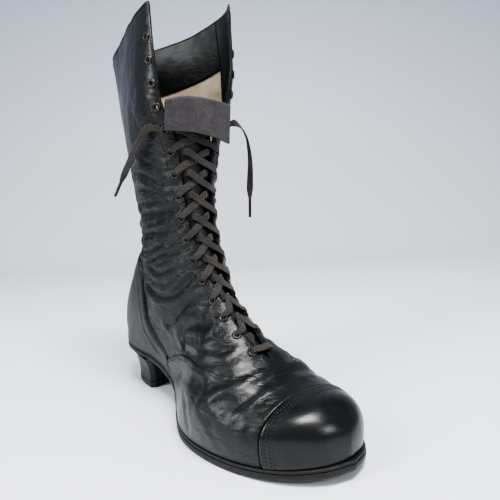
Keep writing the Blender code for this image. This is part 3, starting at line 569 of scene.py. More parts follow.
def relief(points):
    """How far the worn leather stands off its smooth form, in mm: creases, swellings and ripples."""
    shape = points.shape[:-1]
    flat = points.reshape(-1, 3)
    tz = flat[:, 1:]
    height = np.zeros(len(flat))
    for creases, deeper, wider in CREASE_LOOKS:
        for depth, width, line in creases:
            off = distance_to_line(tz, through(line, 14)) / (wider * width)
            height -= deeper * depth * np.exp(-(off**2))
            height += CREASE_LIP * deeper * depth * np.exp(-((off - CREASE_LIP_AT) ** 2))
    for rise, width, t, z in SWELLS:
        off = np.hypot(tz[:, 0] - t, tz[:, 1] - z) / width
        height += rise * np.exp(-(off**2))
    ripple = sum(np.sin(flat @ wave + phase) for wave, phase in RIPPLE_WAVES) / math.sqrt(len(RIPPLE_WAVES))
    soft = RIPPLE_HEIGHT + RIPPLE_HEIGHT * np.exp(-(((flat[:, 2] - RIPPLE_MIDDLE_Z) / RIPPLE_SPREAD_Z) ** 2))
    height += ripple * soft
    calm = 1 - CALM_TOE * ramp((flat[:, 1] - CALM_TOE_T) / CALM_FADE)
    back = ramp((CALM_HEEL_T - flat[:, 1]) / CALM_FADE)
    heel = 1 - CALM_HEEL * back * ramp((CALM_HEEL_Z - flat[:, 2]) / CALM_HEEL_FADE)
    foot = ramp((flat[:, 2] - seat(flat[:, 1])) / CALM_WELT_FADE)
    return (height * calm * heel * foot).reshape(shape)


def new_object(name, mesh):
    obj = linked(name, mesh)
    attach(obj, "root")
    return obj


def mesh_object(name, points, faces):
    """A mesh from points of the tables."""
    mesh = bpy.data.meshes.new(name)
    mesh.from_pydata([tuple(p) for p in place(points)], [], faces)
    edit = bmesh.new()
    edit.from_mesh(mesh)
    bmesh.ops.remove_doubles(edit, verts=edit.verts, dist=MERGED_UNDER)
    bmesh.ops.dissolve_degenerate(edit, dist=FLAT_UNDER, edges=edit.edges)
    bmesh.ops.recalc_face_normals(edit, faces=edit.faces)
    edit.to_mesh(mesh)
    edit.free()
    mesh.shade_smooth()
    return new_object(name, mesh)


def grid_faces(rows, columns, start=0, flip=False):
    faces = []
    for row in range(rows - 1):
        for column in range(columns - 1):
            low = start + row * columns + column
            face = (low, low + 1, low + columns + 1, low + columns)
            faces.append(face[::-1] if flip else face)
    return faces


def add_grid(points, faces, grid, flip):
    """Adds a grid's faces and points to lists of them."""
    faces.extend(grid_faces(*grid.shape[:2], len(points), flip))
    points.extend(grid.reshape(-1, 3))


def apply_modifiers(obj):
    graph = bpy.context.evaluated_depsgraph_get()
    graph.update()
    made = bpy.data.meshes.new_from_object(obj.evaluated_get(graph))
    obj.modifiers.clear()
    old = obj.data
    obj.data = made
    bpy.data.meshes.remove(old)


def thicken(obj, thickness, reverse=0):
    """Gives a sheet its thickness; its other face takes the material reverse places further on."""
    wall = obj.modifiers.new("thickness", "SOLIDIFY")
    wall.material_offset = reverse
    wall.material_offset_rim = reverse
    wall.thickness = thickness * MM
    wall.offset = -1.0
    apply_modifiers(obj)


def sheet_on_skin(name, rows, arcs_of, lift_of):
    """A sheet that follows both sides of the upper.

    arcs_of gives distances from the front line, rows by columns, and lift_of the height off the face there.
    """
    points = []
    faces = []
    for side, _ in SIDES:
        arcs = arcs_of(side, rows)
        grid_rows = np.repeat(rows[:, None], arcs.shape[1], axis=1)
        where, normals = SKIN[side].spot(grid_rows, arcs)
        lift = lift_of(side, grid_rows, arcs) + relief(where)
        add_grid(points, faces, where + normals * lift[..., None], side == LATERAL)
    return mesh_object(name, points, faces)


def sharpen(obj, degrees):
    obj.data.set_sharp_from_angle(angle=math.radians(degrees))


def on_welt(obj):
    """Raises what the wall's slope carries below the welt's top."""
    coords = np.empty(len(obj.data.vertices) * 3)
    obj.data.vertices.foreach_get("co", coords)
    coords = coords.reshape(-1, 3)
    lowest = seat(HEEL_CENTRE_T - coords[:, 1] / MM) * MM - BELOW_SEAT
    coords[:, 2] = np.maximum(coords[:, 2], lowest)
    obj.data.vertices.foreach_set("co", coords.ravel())


# Materials


class Shader:
    """A node material, built by short calls."""

    def __init__(self, name, slot):
        self.material = bpy.data.materials.new(name)
        self.material.use_nodes = True
        self.tree = self.material.node_tree
        self.surface = self.tree.nodes["Principled BSDF"]
        self.slot = slot
        self.coords = self.tree.nodes.new("ShaderNodeTexCoord").outputs["Object"]

    def node(self, kind, **values):
        made = self.tree.nodes.new(kind)
        for key, value in values.items():
            setattr(made, key, value)
        return made

    def link(self, source, target):
        self.tree.links.new(source, target)

    def fill(self, made, **values):
        """Sets a node's sockets, each by a number, a colour or another socket."""
        for key, value in values.items():
            socket = made.inputs[key.replace("_", " ")]
            if isinstance(value, (int, float)):
                socket.default_value = value
            elif isinstance(value, tuple):
                socket.default_value = (*value, 1.0) if socket.type == "RGBA" else value
            else:
                self.link(value, socket)

    def give(self, **values):
        self.fill(self.surface, **values)
        return self

    def stretched(self, scale):
        mapping = self.node("ShaderNodeMapping")
        self.fill(mapping, Vector=self.coords, Scale=scale)
        return mapping.outputs["Vector"]

    def noise(self, scale, detail=3.0, roughness=0.5, distortion=0.0, coords=None):
        made = self.node("ShaderNodeTexNoise")
        self.link(coords or self.coords, made.inputs["Vector"])
        self.fill(made, Scale=scale, Detail=detail, Roughness=roughness, Distortion=distortion)
        return made.outputs["Fac"]

    def cells(self, scale):
        made = self.node("ShaderNodeTexVoronoi")
        self.fill(made, Vector=self.coords, Scale=scale)
        return made.outputs["Distance"]

    def spread(self, value, low, high, to_low=0.0, to_high=1.0):
        made = self.node("ShaderNodeMapRange")
        self.fill(made, Value=value, From_Min=low, From_Max=high, To_Min=to_low, To_Max=to_high)
        return made.outputs["Result"]

    def math(self, operation, first, second=None):
        made = self.node("ShaderNodeMath", operation=operation)
        for socket, value in zip(made.inputs, (first, second)):
            if isinstance(value, (int, float)):
                socket.default_value = value
            elif value is not None:
                self.link(value, socket)
        return made.outputs[0]

    def times(self, first, second):
        return self.math("MULTIPLY", first, second)

    def plus(self, first, second):
        return self.math("ADD", first, second)

    def tone(self, value, low, high, first, second):
        """A colour that goes from the first to the second as a value goes from low to high."""
        return self.mix(self.spread(value, low, high), first, second)

    def height_z(self):
        made = self.node("ShaderNodeSeparateXYZ")
        self.link(self.coords, made.inputs[0])
        return made.outputs["Z"]

    def mix(self, share, first, second):
        """A colour between two, each a colour or a socket."""
        made = self.node("ShaderNodeMix", data_type="RGBA")
        self.link(share, made.inputs["Factor"])
        for socket, value in ((made.inputs[6], first), (made.inputs[7], second)):
            if isinstance(value, tuple):
                socket.default_value = (*value, 1.0)
            else:
                self.link(value, socket)
        return made.outputs[2]

    def bump(self, height, distance, below=None, strength=1.0):
        made = self.node("ShaderNodeBump")
        self.fill(made, Height=height, Distance=distance, Strength=strength)
        if below is not None:
            self.link(below, made.inputs["Normal"])
        return made.outputs["Normal"]

    def on(self, obj):
        obj.data.materials.clear()
        obj.data.materials.append(self.material)


def black_leather(name, slot, shine, crinkle, wrinkle):
    """Worn black leather: fine grain, crinkles that follow the bends, and rubbed, lighter and duller patches
    spread by noise.
    """
    look = Shader(name, slot)
    patches = look.noise(34, 4, 0.55, 0.4)
    scuffs = look.noise(260, 5, 0.7, 0.8)
    tone = look.tone(patches, 0.35, 0.7, (0.0038, 0.0043, 0.0044), (0.0095, 0.0103, 0.0103))
    rubbed = look.spread(scuffs, 0.62, 0.78)
    tone = look.mix(look.times(rubbed, 0.35), tone, (0.03, 0.027, 0.024))
    level = look.stretched((1.0, 1.0, 2.6))
    folds = look.noise(62, 5, 0.55, 0.9, level)
    crackle = look.noise(210, 4, 0.62, 1.1, level)
    grain = look.cells(1150)
    fine = look.noise(900, 2, 0.5)
    height = look.height_z()
    ankle = look.times(look.spread(height, 0.055, 0.1), look.spread(height, 0.26, 0.19))
    ankle = look.plus(look.times(ankle, 1.0 - wrinkle[0]), wrinkle[0])
    normal = look.bump(look.times(folds, ankle), wrinkle[1])
    normal = look.bump(look.times(crackle, ankle), crinkle, normal)
    normal = look.bump(grain, 0.00007, normal, 0.5)
    normal = look.bump(fine, 0.00005, normal, 0.6)
    rough = look.spread(patches, 0.3, 0.75, shine, shine + 0.16)
    rough = look.plus(rough, look.times(rubbed, 0.12))
    look.give(Base_Color=tone, Roughness=rough, Normal=normal)
    return look.give(Specular_IOR_Level=0.42, Coat_Weight=0.1, Coat_Roughness=0.22)


UPPER_LEATHER = black_leather("upper_leather", "upper_leather", 0.3, 0.0005, (0.3, 0.0026))
VAMP_LOOK = black_leather("vamp_leather", "upper_leather", 0.29, 0.0003, (0.55, 0.0018))
CAP_LOOK = black_leather("cap_leather", "cap_leather", 0.2, 0.00008, (0.3, 0.0005))
COUNTER_LOOK = black_leather("counter_leather", "upper_leather", 0.36, 0.00012, (0.3, 0.0007))
FACING_LOOK = black_leather("facing_leather", "upper_leather", 0.42, 0.00012, (0.6, 0.0009))


def lining_look():
    """Cream twill with faint stains."""
    look = Shader("lining", "tongue_suede")
    stains = look.noise(45, 5, 0.6, 0.6)
    tone = look.tone(stains, 0.35, 0.75, (0.56, 0.49, 0.37), (0.36, 0.28, 0.18))
    twill = look.node("ShaderNodeTexWave", wave_type="BANDS", bands_direction="DIAGONAL")
    look.fill(twill, Vector=look.coords, Scale=420)
    normal = look.bump(twill.outputs["Fac"], 0.00015)
    normal = look.bump(look.noise(70, 4, 0.6), 0.0012, normal)
    return look.give(Base_Color=tone, Roughness=0.85, Normal=normal)


def suede_look():
    """Grey-mauve suede with nap and soft patches."""
    look = Shader("tongue_suede", "tongue_suede")
    patches = look.noise(120, 5, 0.65, 0.5)
    nap = look.noise(1600, 3, 0.7)
    tone = look.tone(patches, 0.3, 0.72, (0.03, 0.026, 0.0285), (0.058, 0.051, 0.055))
    tone = look.tone(nap, 0.5, 0.75, tone, (0.085, 0.077, 0.079))
    normal = look.bump(nap, 0.00035)
    normal = look.bump(patches, 0.0009, normal)
    look.give(Base_Color=tone, Roughness=0.95, Normal=normal)
    return look.give(Sheen_Weight=0.25, Sheen_Roughness=0.5, Specular_IOR_Level=0.2)


def lace_look():
    """Brown-grey braid: its strands come from the lace's own lengthwise and crosswise coordinates."""
    look = Shader("lace", "lace")
    along = look.node("ShaderNodeUVMap", uv_map="lace").outputs["UV"]
    split = look.node("ShaderNodeSeparateXYZ")
    look.link(along, split.inputs[0])
    across, forward = split.outputs["X"], split.outputs["Y"]
    slant = look.math("ABSOLUTE", look.math("SUBTRACT", across, 0.5))
    phase = look.plus(look.times(forward, 2200.0), look.times(slant, 9.0))
    strands = look.math("SINE", phase)
    ribs = look.math("SINE", look.times(across, 44.0))
    weave = look.times(look.plus(strands, 1.0), look.plus(ribs, 1.6))
    fuzz = look.noise(900, 4, 0.7)
    dirt = look.noise(90, 4, 0.6)
    tone = look.tone(dirt, 0.35, 0.7, (0.043, 0.035, 0.029), (0.02, 0.017, 0.0145))
    tone = look.tone(fuzz, 0.55, 0.8, tone, (0.075, 0.064, 0.054))
    normal = look.bump(weave, 0.00009)
    normal = look.bump(fuzz, 0.0003, normal)
    return look.give(Base_Color=tone, Roughness=0.92, Normal=normal, Sheen_Weight=0.15)


def thread_look():
    look = Shader("thread", "upper_leather")
    wear = look.noise(500, 3, 0.6)
    tone = look.tone(wear, 0.4, 0.75, (0.01, 0.01, 0.01), (0.04, 0.037, 0.034))
    return look.give(Base_Color=tone, Roughness=0.7, Normal=look.bump(look.noise(4000, 2), 0.00006))


def enamel_look():
    """Black enamel on the eyelets, worn through to brass on the rims."""
    look = Shader("eyelet_enamel", "eyelet_enamel")
    chips = look.noise(700, 4, 0.7)
    worn = look.spread(chips, 0.56, 0.66)
    tone = look.mix(worn, (0.01, 0.0095, 0.009), (0.16, 0.1, 0.055))
    normal = look.bump(chips, 0.00012)
    rough = look.spread(chips, 0.3, 0.7, 0.2, 0.42)
    metal = look.times(worn, 0.8)
    return look.give(Base_Color=tone, Roughness=rough, Metallic=metal, Normal=normal)


def brass_look():
    """Tarnished brass with brown patches, on the eyelets' inner rings."""
    look = Shader("eyelet_brass", "eyelet_enamel")
    tarnish = look.noise(900, 4, 0.65)
    tone = look.tone(tarnish, 0.4, 0.65, (0.34, 0.2, 0.095), (0.07, 0.04, 0.025))
    rough = look.spread(tarnish, 0.3, 0.7, 0.3, 0.6)
    return look.give(Base_Color=tone, Roughness=rough, Metallic=0.85, Normal=look.bump(tarnish, 0.0001))


def edge_look(name, slot, scale):
    """Dressed black sole edge, rubbed grey-brown in places, with fine lines along its layers."""
    look = Shader(name, slot)
    layers = look.stretched((1.0, 1.0, 7.0))
    lines = look.noise(scale, 4, 0.6, 0.2, layers)
    rubs = look.noise(130, 5, 0.7, 0.6)
    tone = look.tone(lines, 0.4, 0.7, (0.005, 0.0048, 0.0048), (0.012, 0.011, 0.0105))
    tone = look.mix(look.times(look.spread(rubs, 0.6, 0.76), 0.5), tone, (0.045, 0.04, 0.035))
    normal = look.bump(lines, 0.00035)
    normal = look.bump(look.noise(1200, 3, 0.6), 0.0001, normal)
    return look.give(Base_Color=tone, Roughness=look.spread(rubs, 0.3, 0.75, 0.36, 0.62), Normal=normal)


def insole_look():
    look = Shader("insole_leather", "insole_leather")
    tread = look.noise(28, 4, 0.6, 0.5)
    tone = look.tone(tread, 0.35, 0.7, (0.3, 0.22, 0.13), (0.13, 0.09, 0.055))
    normal = look.bump(look.noise(600, 4, 0.6), 0.0003)
    return look.give(Base_Color=tone, Roughness=0.75, Normal=normal)


LINING_LOOK = lining_look()
SUEDE_LOOK = suede_look()
LACE_LOOK = lace_look()
THREAD_LOOK = thread_look()
ENAMEL_LOOK = enamel_look()
BRASS_LOOK = brass_look()
SOLE_LOOK = edge_look("sole_edge", "sole_leather", 240)
HEEL_LOOK = edge_look("heel_stack", "heel_leather", 420)
INSOLE_LOOK = insole_look()


# Laces and their ends


def eyelet_places():
    """Rows and arcs of the eyelets of each side, from the bottom pair up, evenly spaced along the edge."""
    places = {}
    for side, _ in SIDES:
        rows = np.linspace(THROAT_ROW, LAST_ROW, 400)
        edge, _ = SKIN[side].spot(rows, throat_gap(rows) + EYELET_FROM_EDGE)
        along = distances(edge)
        wanted = BOTTOM_EYELET_RISE + EYELET_PITCH * np.arange(EYELETS)
        at_rows = np.interp(wanted, along, rows)
        places[side] = list(zip(at_rows, throat_gap(at_rows) + EYELET_FROM_EDGE))
    return places


EYELET_PLACES = eyelet_places()


def eyelet_frame(side, index):
    """Centre of an eyelet on the leather, its outward normal, and the ways up the throat and to its edge."""
    row, arc = EYELET_PLACES[side][index]
    here, normal = SKIN[side].spot([row], [arc])
    above, _ = SKIN[side].spot([row + 0.05], [arc])
    inward, _ = SKIN[side].spot([row], [arc - 1.0])
    up = above[0] - here[0]
    to_edge = inward[0] - here[0]
    centre = here[0] + normal[0] * float(relief(here)[0])
    return centre, normal[0], unit(up), unit(to_edge)


def edge_spot(side, index, lift, past=0.0, down=0.0):
    """A point at the throat's edge beside an eyelet, past it towards the middle and down along it."""
    row, arc = EYELET_PLACES[side][index]
    arc = arc - EYELET_FROM_EDGE - past
    other = side
    if arc < 0:
        other, arc = -side, -arc
    here, normal = SKIN[other].spot([row], [arc])
    above, _ = SKIN[other].spot([row + 0.05], [arc])
    up = unit(above[0] - here[0])
    return here[0] + normal[0] * lift - up * down, normal[0]


def ribbon(name, line, normals, widths, thicknesses, samples):
    """A flat woven lace along a line: a rounded strip with its length and breadth as coordinates."""
    line = np.array(line, float)
    sizes = np.column_stack([widths, thicknesses])
    table = np.hstack([line, np.array(normals, float), sizes])
    reach = distances(line)
    dense = np.linspace(0, reach[-1], samples)
    run = np.array([hermite(reach, column, np.gradient(column, reach), dense) for column in table.T]).T
    centre, normal, width, thick = run[:, :3], run[:, 3:6], run[:, 6], run[:, 7]
    ahead = np.gradient(centre, axis=0)
    ahead /= np.linalg.norm(ahead, axis=1, keepdims=True)
    normal = normal - ahead * (normal * ahead).sum(1, keepdims=True)
    normal /= np.linalg.norm(normal, axis=1, keepdims=True)
    across = np.cross(ahead, normal)
    profile = LACE_HALF_PROFILE + [(-u, -v) for u, v in LACE_HALF_PROFILE]
    points = []
    for u, v in profile:
        points.append(centre + across * (u * width)[:, None] + normal * (v * thick)[:, None])
    points = np.stack(points, axis=1)
    count = len(profile)
    faces = ring_faces(count, samples) + end_caps(count, samples)
    mesh = bpy.data.meshes.new(name)
    mesh.from_pydata([tuple(p) for p in place(points.reshape(-1, 3))], [], faces)
    layer = mesh.uv_layers.new(name="lace")
    along = distances(centre) * MM
    for polygon in mesh.polygons:
        for loop in polygon.loop_indices:
            index = mesh.loops[loop].vertex_index
            layer.data[loop].uv = (profile[index % count][0] + 0.5, along[index // count])
    mesh.shade_smooth()
    obj = new_object(name, mesh)
    LACE_LOOK.on(obj)
    return obj, centre


def lace_strand(name, first_side):
    """One half of the lace, from the bottom eyelet through the crossings to its top eyelet."""
    line, normals, widths, thicks = [], [], [], []

    def add(point, normal, width=LACE_WIDTH, thick=LACE_THICKNESS):
        line.append(point)
        normals.append(normal)
        widths.append(width)
        thicks.append(thick)

    other = first_side
    centre, normal, up, to_edge = eyelet_frame(other, 0)
    add(centre - normal * 1.0, to_edge * 0.9 + normal * 0.2, 2.6, 1.5)
    add(centre - normal * 3.0 + up * 0.6 + to_edge * 1.2, normal, 4.0, 1.0)
    for index in range(1, LACED):
        other = -other
        far, far_normal = edge_spot(other, index, -2.9, 1.5, 3.4)
        if index == 1:
            add(far, far_normal, 5.0)
        centre, normal, up, to_edge = eyelet_frame(other, index)
        add(centre - normal * 3.0 - up * 1.6 + to_edge * 0.6, normal, 4.4, 0.95)
        add(centre - normal * 0.7, -up * 0.8 + to_edge * 0.2 + normal * 0.3, 2.7, 1.5)
        if index == LACED - 1:
            add(centre + normal * 1.1 + to_edge * 0.2, -up * 0.5 + normal * 0.9, 3.0, 1.3)
            break
        add(centre + normal * 1.5 + to_edge * 1.5 + up * 0.5, normal * 1.0 - up * 0.15, 4.2, 1.15)
        over, over_normal = edge_spot(other, index, 1.5, -0.4, -1.3)
        add(over, over_normal, 5.0)
        beyond, beyond_normal = edge_spot(-other, index + 1, -1.2, 4.6, 3.6)
        middle_normal = unit(over_normal + beyond_normal)
        lift = 0.9 if other == MEDIAL else 0.1
        add(over * 0.5 + beyond * 0.5 + middle_normal * lift, middle_normal)
        add(beyond, beyond_normal)
        tuck, tuck_normal = edge_spot(-other, index + 1, -2.7, 1.0, 3.0)
        add(tuck, tuck_normal, 5.0)
    return ribbon(name, line, normals, widths, thicks, 620)[0]


def lace_bar():
    """The straight bar outside the bottom pair, between its two eyelets."""
    left, left_normal, _, left_edge = eyelet_frame(LATERAL, 0)
    right, right_normal, _, right_edge = eyelet_frame(MEDIAL, 0)
    middle_normal = unit(left_normal + right_normal)
    line = [
        left - left_normal * 1.5,
        left + left_normal * 0.9 - left_edge * 0.2,
        left + left_normal * 2.2 + left_edge * 1.8,
        (left + right) / 2 + middle_normal * 2.6,
        right + right_normal * 2.2 + right_edge * 1.8,
        right + right_normal * 0.9 - right_edge * 0.2,
        right - right_normal * 1.5,
    ]
    flat_left = left_normal - left_edge * 0.9
    flat_right = right_normal - right_edge * 0.9
    normals = [-left_edge, flat_left, left_normal, middle_normal, right_normal, flat_right, -right_edge]
    widths = BAR_WIDTHS + BAR_WIDTHS[-2::-1]
    thicks = BAR_THICKS + BAR_THICKS[-2::-1]
    return ribbon("lace_bar_run", line, normals, widths, thicks, 60)[0]


def lace_end(side, word, rest, twist):
    """A hanging end of the lace after its top eyelet, with its metal tip."""
    centre, normal, _, _ = eyelet_frame(side, LACED - 1)
    start = centre + normal * 2.1
    route = np.vstack([[start], np.array(rest)])
    count = len(route)
    normals = []
    for index in range(count):
        share = index / (count - 1)
        lean = np.array([side * math.cos(twist * share), math.sin(twist * share), 0.25])
        normals.append(normal * (1 - share) + lean * share if index else normal)
    widths = np.interp(np.linspace(0, 1, count), [0, 0.12, 0.5, 0.86, 1], [3.4, 5.4, 6.0, 5.4, 2.6])
    thicks = np.interp(np.linspace(0, 1, count), [0, 0.12, 0.86, 1], [1.4, 1.0, 1.0, 1.8])
    obj, path = ribbon(f"lace_end_{word}_run", route, normals, widths, thicks, 110)
    tip = route[-1]
    ahead = unit(tip - route[-2])
    tube = lathe_along(f"aglet_{word}_tip", tip - ahead * 0.6, ahead, AGLET_LENGTH + 0.8, AGLET_RADIUS)
    ENAMEL_LOOK.on(tube)
    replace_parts(tube, f"aglet_{word}")
    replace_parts(obj, f"lace_end_{word}")


def lathe_along(name, start, ahead, length, radius, sides=20):
    """A slim round tip with a rolled mouth and a rounded end."""
    ahead = Vector(ahead).normalized()
    across = ahead.orthogonal().normalized()
    beside = ahead.cross(across)
    profile = [
        (0.0, 0.86), (0.15, 1.02), (0.5, 1.06), (0.9, 1.0), (1.6, 0.98), (length * 0.5, 0.96),
        (length - 1.2, 0.94), (length - 0.5, 0.86), (length - 0.15, 0.62), (length, 0.0),
    ]
    points = []
    for along, width in profile:
        for spoke in spokes(across, beside, sides):
            points.append(tuple(Vector(start) + ahead * along + spoke * (radius * width)))
    faces = ring_faces(sides, len(profile))
    faces.append(tuple(range(sides)))
    return mesh_object(name, points, faces)


def laces():
    first = lace_strand("lace_from_lateral", LATERAL)
    second = lace_strand("lace_from_medial", MEDIAL)
    crossings = [f"lace_crossing_{index:02d}" for index in range(2, LACED)]
    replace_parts(first, *crossings[::2])
    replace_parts(second, *crossings[1::2])
    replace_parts(lace_bar(), "lace_bar")
    lace_end(LATERAL, "lateral", LATERAL_END, 1.1)
    lace_end(MEDIAL, "medial", MEDIAL_END, -0.9)


laces()


# The upper


def leather_shell():
    """The leather of foot and leg, open at the throat, the collar and underneath, with eyelet holes."""
    rows = np.concatenate([np.linspace(0, THROAT_ROW, 60), np.linspace(THROAT_ROW, LAST_ROW, 171)[1:]])
    columns = np.linspace(0, 1, 62)

    def arcs_of(side, at_rows):
        gap = throat_gap(at_rows)[:, None]
        return gap + columns[None] * (SKIN[side].length(at_rows)[:, None] - gap)

    def lift_of(side, grid_rows, arcs):
        rim = ramp((grid_rows - LAST_ROW + RIM_ROWS) / RIM_ROWS)
        edge = ramp(1 - (arcs - throat_gap(grid_rows)) / EDGE_ROUND) * (grid_rows > THROAT_ROW)
        return -RIM_DROP * np.maximum(rim, edge) ** 2

    shell = sheet_on_skin("leather_shell", rows, arcs_of, lift_of)
    thicken(shell, OUTER_LEATHER)
    on_welt(shell)
    cut_holes(shell)
    shell.data.shade_smooth()
    sharpen(shell, 50)
    UPPER_LEATHER.on(shell)
    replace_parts(shell, "upper")


def cut_holes(obj):
    """Cuts the eyelets' holes through a layer of the upper."""
    holes = bmesh.new()
    for side, _ in SIDES:
        for index in range(EYELETS):
            centre, normal, up, _ = eyelet_frame(side, index)
            rings = []
            for depth in HOLE_DEPTHS:
                ring = []
                for spoke in spokes(up, np.cross(normal, up), HOLE_SIDES):
                    ring.append(holes.verts.new(place(centre + normal * depth + spoke * EYELET_HOLE)[0]))
                rings.append(ring)
            holes.faces.new(rings[0])
            holes.faces.new(rings[1][::-1])
            for step in range(HOLE_SIDES):
                after = (step + 1) % HOLE_SIDES
                holes.faces.new((rings[0][step], rings[1][step], rings[1][after], rings[0][after]))
    bmesh.ops.recalc_face_normals(holes, faces=holes.faces)
    mesh = bpy.data.meshes.new("holes")
    holes.to_mesh(mesh)
    holes.free()
    cutter = linked("holes", mesh)
    cut = obj.modifiers.new("holes", "BOOLEAN")
    cut.operation = "DIFFERENCE"
    cut.solver = "MANIFOLD"
    cut.object = cutter
    apply_modifiers(obj)
    bpy.data.objects.remove(cutter)


def lining():
    """The cream lining under the top band, and the black band and facings that cover its edges."""
    columns = np.linspace(0, 1, 40)
    band_rows = TOP_BAND / TOP_ROW_HEIGHT

    def to_back(past_edge, short):
        def arcs_of(side, at_rows):
            gap = throat_gap(at_rows)[:, None] + past_edge
            return gap + columns[None] * (SKIN[side].length(at_rows)[:, None] - gap - short)

        return arcs_of

    def facing_arcs(side, at_rows):
        return throat_gap(at_rows)[:, None] + 0.7 + np.linspace(0, FACING_WIDTH, 12)[None]

    def behind_leather(side, grid_rows, arcs):
        past_facing = ramp((arcs - throat_gap(grid_rows) - FACING_WIDTH - 1.0) / 8.0)
        under_band = ramp((LAST_ROW - 0.1 - band_rows - grid_rows) / 1.0)
        return -LINING_DEPTH - LINING_SLACK * past_facing * under_band

    def at_depth(depth):
        return lambda side, grid_rows, arcs: np.full(arcs.shape, -depth)

    rows = np.linspace(LINING_FIRST_ROW, LAST_ROW - 0.05, 130)
    sheet = sheet_on_skin("lining", rows, to_back(1.2, 0.4), behind_leather)
    thicken(sheet, LINING_THICKNESS)
    on_welt(sheet)
    cut_holes(sheet)
    sheet.data.shade_smooth()
    LINING_LOOK.on(sheet)
    rows = np.linspace(LAST_ROW - 0.02 - band_rows, LAST_ROW - 0.02, 20)
    band = sheet_on_skin("top_band", rows, to_back(0.6, 0.0), at_depth(FACING_DEPTH))
    rows = np.linspace(FACING_FIRST_ROW, LAST_ROW - 0.06, 120)
    facing = sheet_on_skin("facings", rows, facing_arcs, at_depth(FACING_DEPTH + FACING_BELOW_BAND))
    for piece in (band, facing):
        thicken(piece, FACING_THICKNESS)
        cut_holes(piece)
        piece.data.shade_smooth()
        FACING_LOOK.on(piece)


def seam_row(side, share, signed):
    """The first section, going back from the toe, where a signed distance turns negative."""
    rows = SKIN[side].rows
    line = blend_at(SKIN[side].points, rows, np.full(len(rows), share))
    values = signed(line)
    first = int(np.argmax(values < 0))
    if first == 0:
        return float(rows[0])
    low, high = values[first - 1], values[first]
    return float(rows[first - 1] + (rows[first] - rows[first - 1]) * low / (low - high))


def cap_signed(line):
    return line[:, 1] - CAP_SEAM_T


VAMP_LINE = through(VAMP_SEAM, 120)


def vamp_signed(line):
    """Above zero below and ahead of the vamp's seam, in mm."""
    ahead = line[:, 1] - np.interp(line[:, 2], VAMP_LINE[:30, 1], VAMP_LINE[:30, 0])
    under = np.interp(line[:, 1], VAMP_LINE[:, 0], VAMP_LINE[:, 1]) - line[:, 2]
    return np.where(line[:, 1] < VAMP_SIDE_T, ahead, under)


def overlay(name, leather, back_signed, front_signed=None):
    """An overlay from the ridge to the sole on both sides, between two seams, its cut edges rounded."""
    shares = np.linspace(0, 1, 74)
    points = []
    faces = []
    for side, _ in SIDES:
        skin = SKIN[side]
        ends = np.array([seam_row(side, share, back_signed) for share in shares])
        starts = np.zeros(len(shares))
        if front_signed is not None:
            starts = np.array([seam_row(side, share, front_signed) for share in shares])
        lines = []
        for share, start, end in zip(shares, starts, ends):
            dense = np.linspace(start, end, 200)
            along = distances(blend_at(skin.points, dense, np.full(200, share)))
            first = np.array([0.0]) if front_signed is None else EDGE_STEPS
            inner = np.linspace(INNER_FROM, along[-1] - INNER_FROM, 74)
            wanted = np.concatenate([first, inner, along[-1] - EDGE_STEPS[::-1]])
            at_rows = np.interp(wanted, along, dense)
            where, normals = skin.spot(at_rows, share * skin.length(at_rows))
            from_edge = along[-1] - wanted
            if front_signed is not None:
                from_edge = np.minimum(from_edge, wanted)
            lines.append(where + normals * rounded(from_edge, leather, where)[:, None])
        add_grid(points, faces, np.array(lines), side == MEDIAL)
    return mesh_object(name, points, faces)


def rounded(from_edge, leather, where):
    """How high an overlay stands over the upper, falling in a curve to its cut edge."""
    rise = np.sqrt(1 - (1 - ramp(from_edge / EDGE_ROUND)) ** 2)
    return EDGE_LIFT + (OVERLAY_LIFT + leather - EDGE_LIFT) * rise + relief(where)


def counter_signed(row, side):
    """Arc on a section where it crosses the counter's seam, or nothing."""
    skin = SKIN[side]
    shares = np.linspace(0, 1, 400)
    line = blend_at(skin.points, np.full(400, row), shares)
    ahead = line[:, 1] - np.interp(line[:, 2], COUNTER_LINE[:, 1], COUNTER_LINE[:, 0])
    behind = (ahead < 0) & (line[:, 2] < COUNTER_TOP)
    if not behind[-1]:
        return None
    first = len(behind) - 1
    while first > 0 and behind[first - 1]:
        first -= 1
    return float(shares[first]) * float(skin.length(row))


COUNTER_LINE = through(COUNTER_SEAM, 160)


def heel_counter():
    """The counter's overlay round the heel, one sheet for each side, joined at the back."""
    points = []
    faces = []
    for side, _ in SIDES:
        rows = [row for row in np.linspace(*COUNTER_ROWS, 150) if counter_signed(row, side) is not None]
        lines = []
        for row in rows:
            first = counter_signed(row, side)
            span = max(float(SKIN[side].length(row)) - first, 0.05)
            inner = np.linspace(min(INNER_FROM, span * 0.6), span, 60)
            wanted = first + np.concatenate([np.minimum(EDGE_STEPS, span * 0.5), inner])
            where, normals = SKIN[side].spot(np.full(len(wanted), row), wanted)
            from_edge = np.minimum(wanted - first, np.clip((rows[-1] - row) * ROW_HEIGHT, 0, 9))
            lines.append(where + normals * rounded(from_edge, COUNTER_LEATHER, where)[:, None])
        add_grid(points, faces, np.array(lines), side == LATERAL)
    piece = mesh_object("counter_overlay", points, faces)
    COUNTER_LOOK.on(piece)
    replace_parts(piece, "heel_counter")


def soften_tip(obj, rounds=16):
    """Smooths the tip of the toe, where the sections close to a line."""
    edit = bmesh.new()
    edit.from_mesh(obj.data)
    tip = []
    for vert in edit.verts:
        near = vert.co.y < (HEEL_CENTRE_T - TIP_FROM_T) * MM and abs(vert.co.x - TIP_X * MM) < TIP_HALF * MM
        if near and not vert.is_boundary:
            tip.append(vert)
    for _ in range(rounds):
        bmesh.ops.smooth_vert(edit, verts=tip, factor=0.5, use_axis_x=True, use_axis_y=True, use_axis_z=True)
    edit.to_mesh(obj.data)
    edit.free()


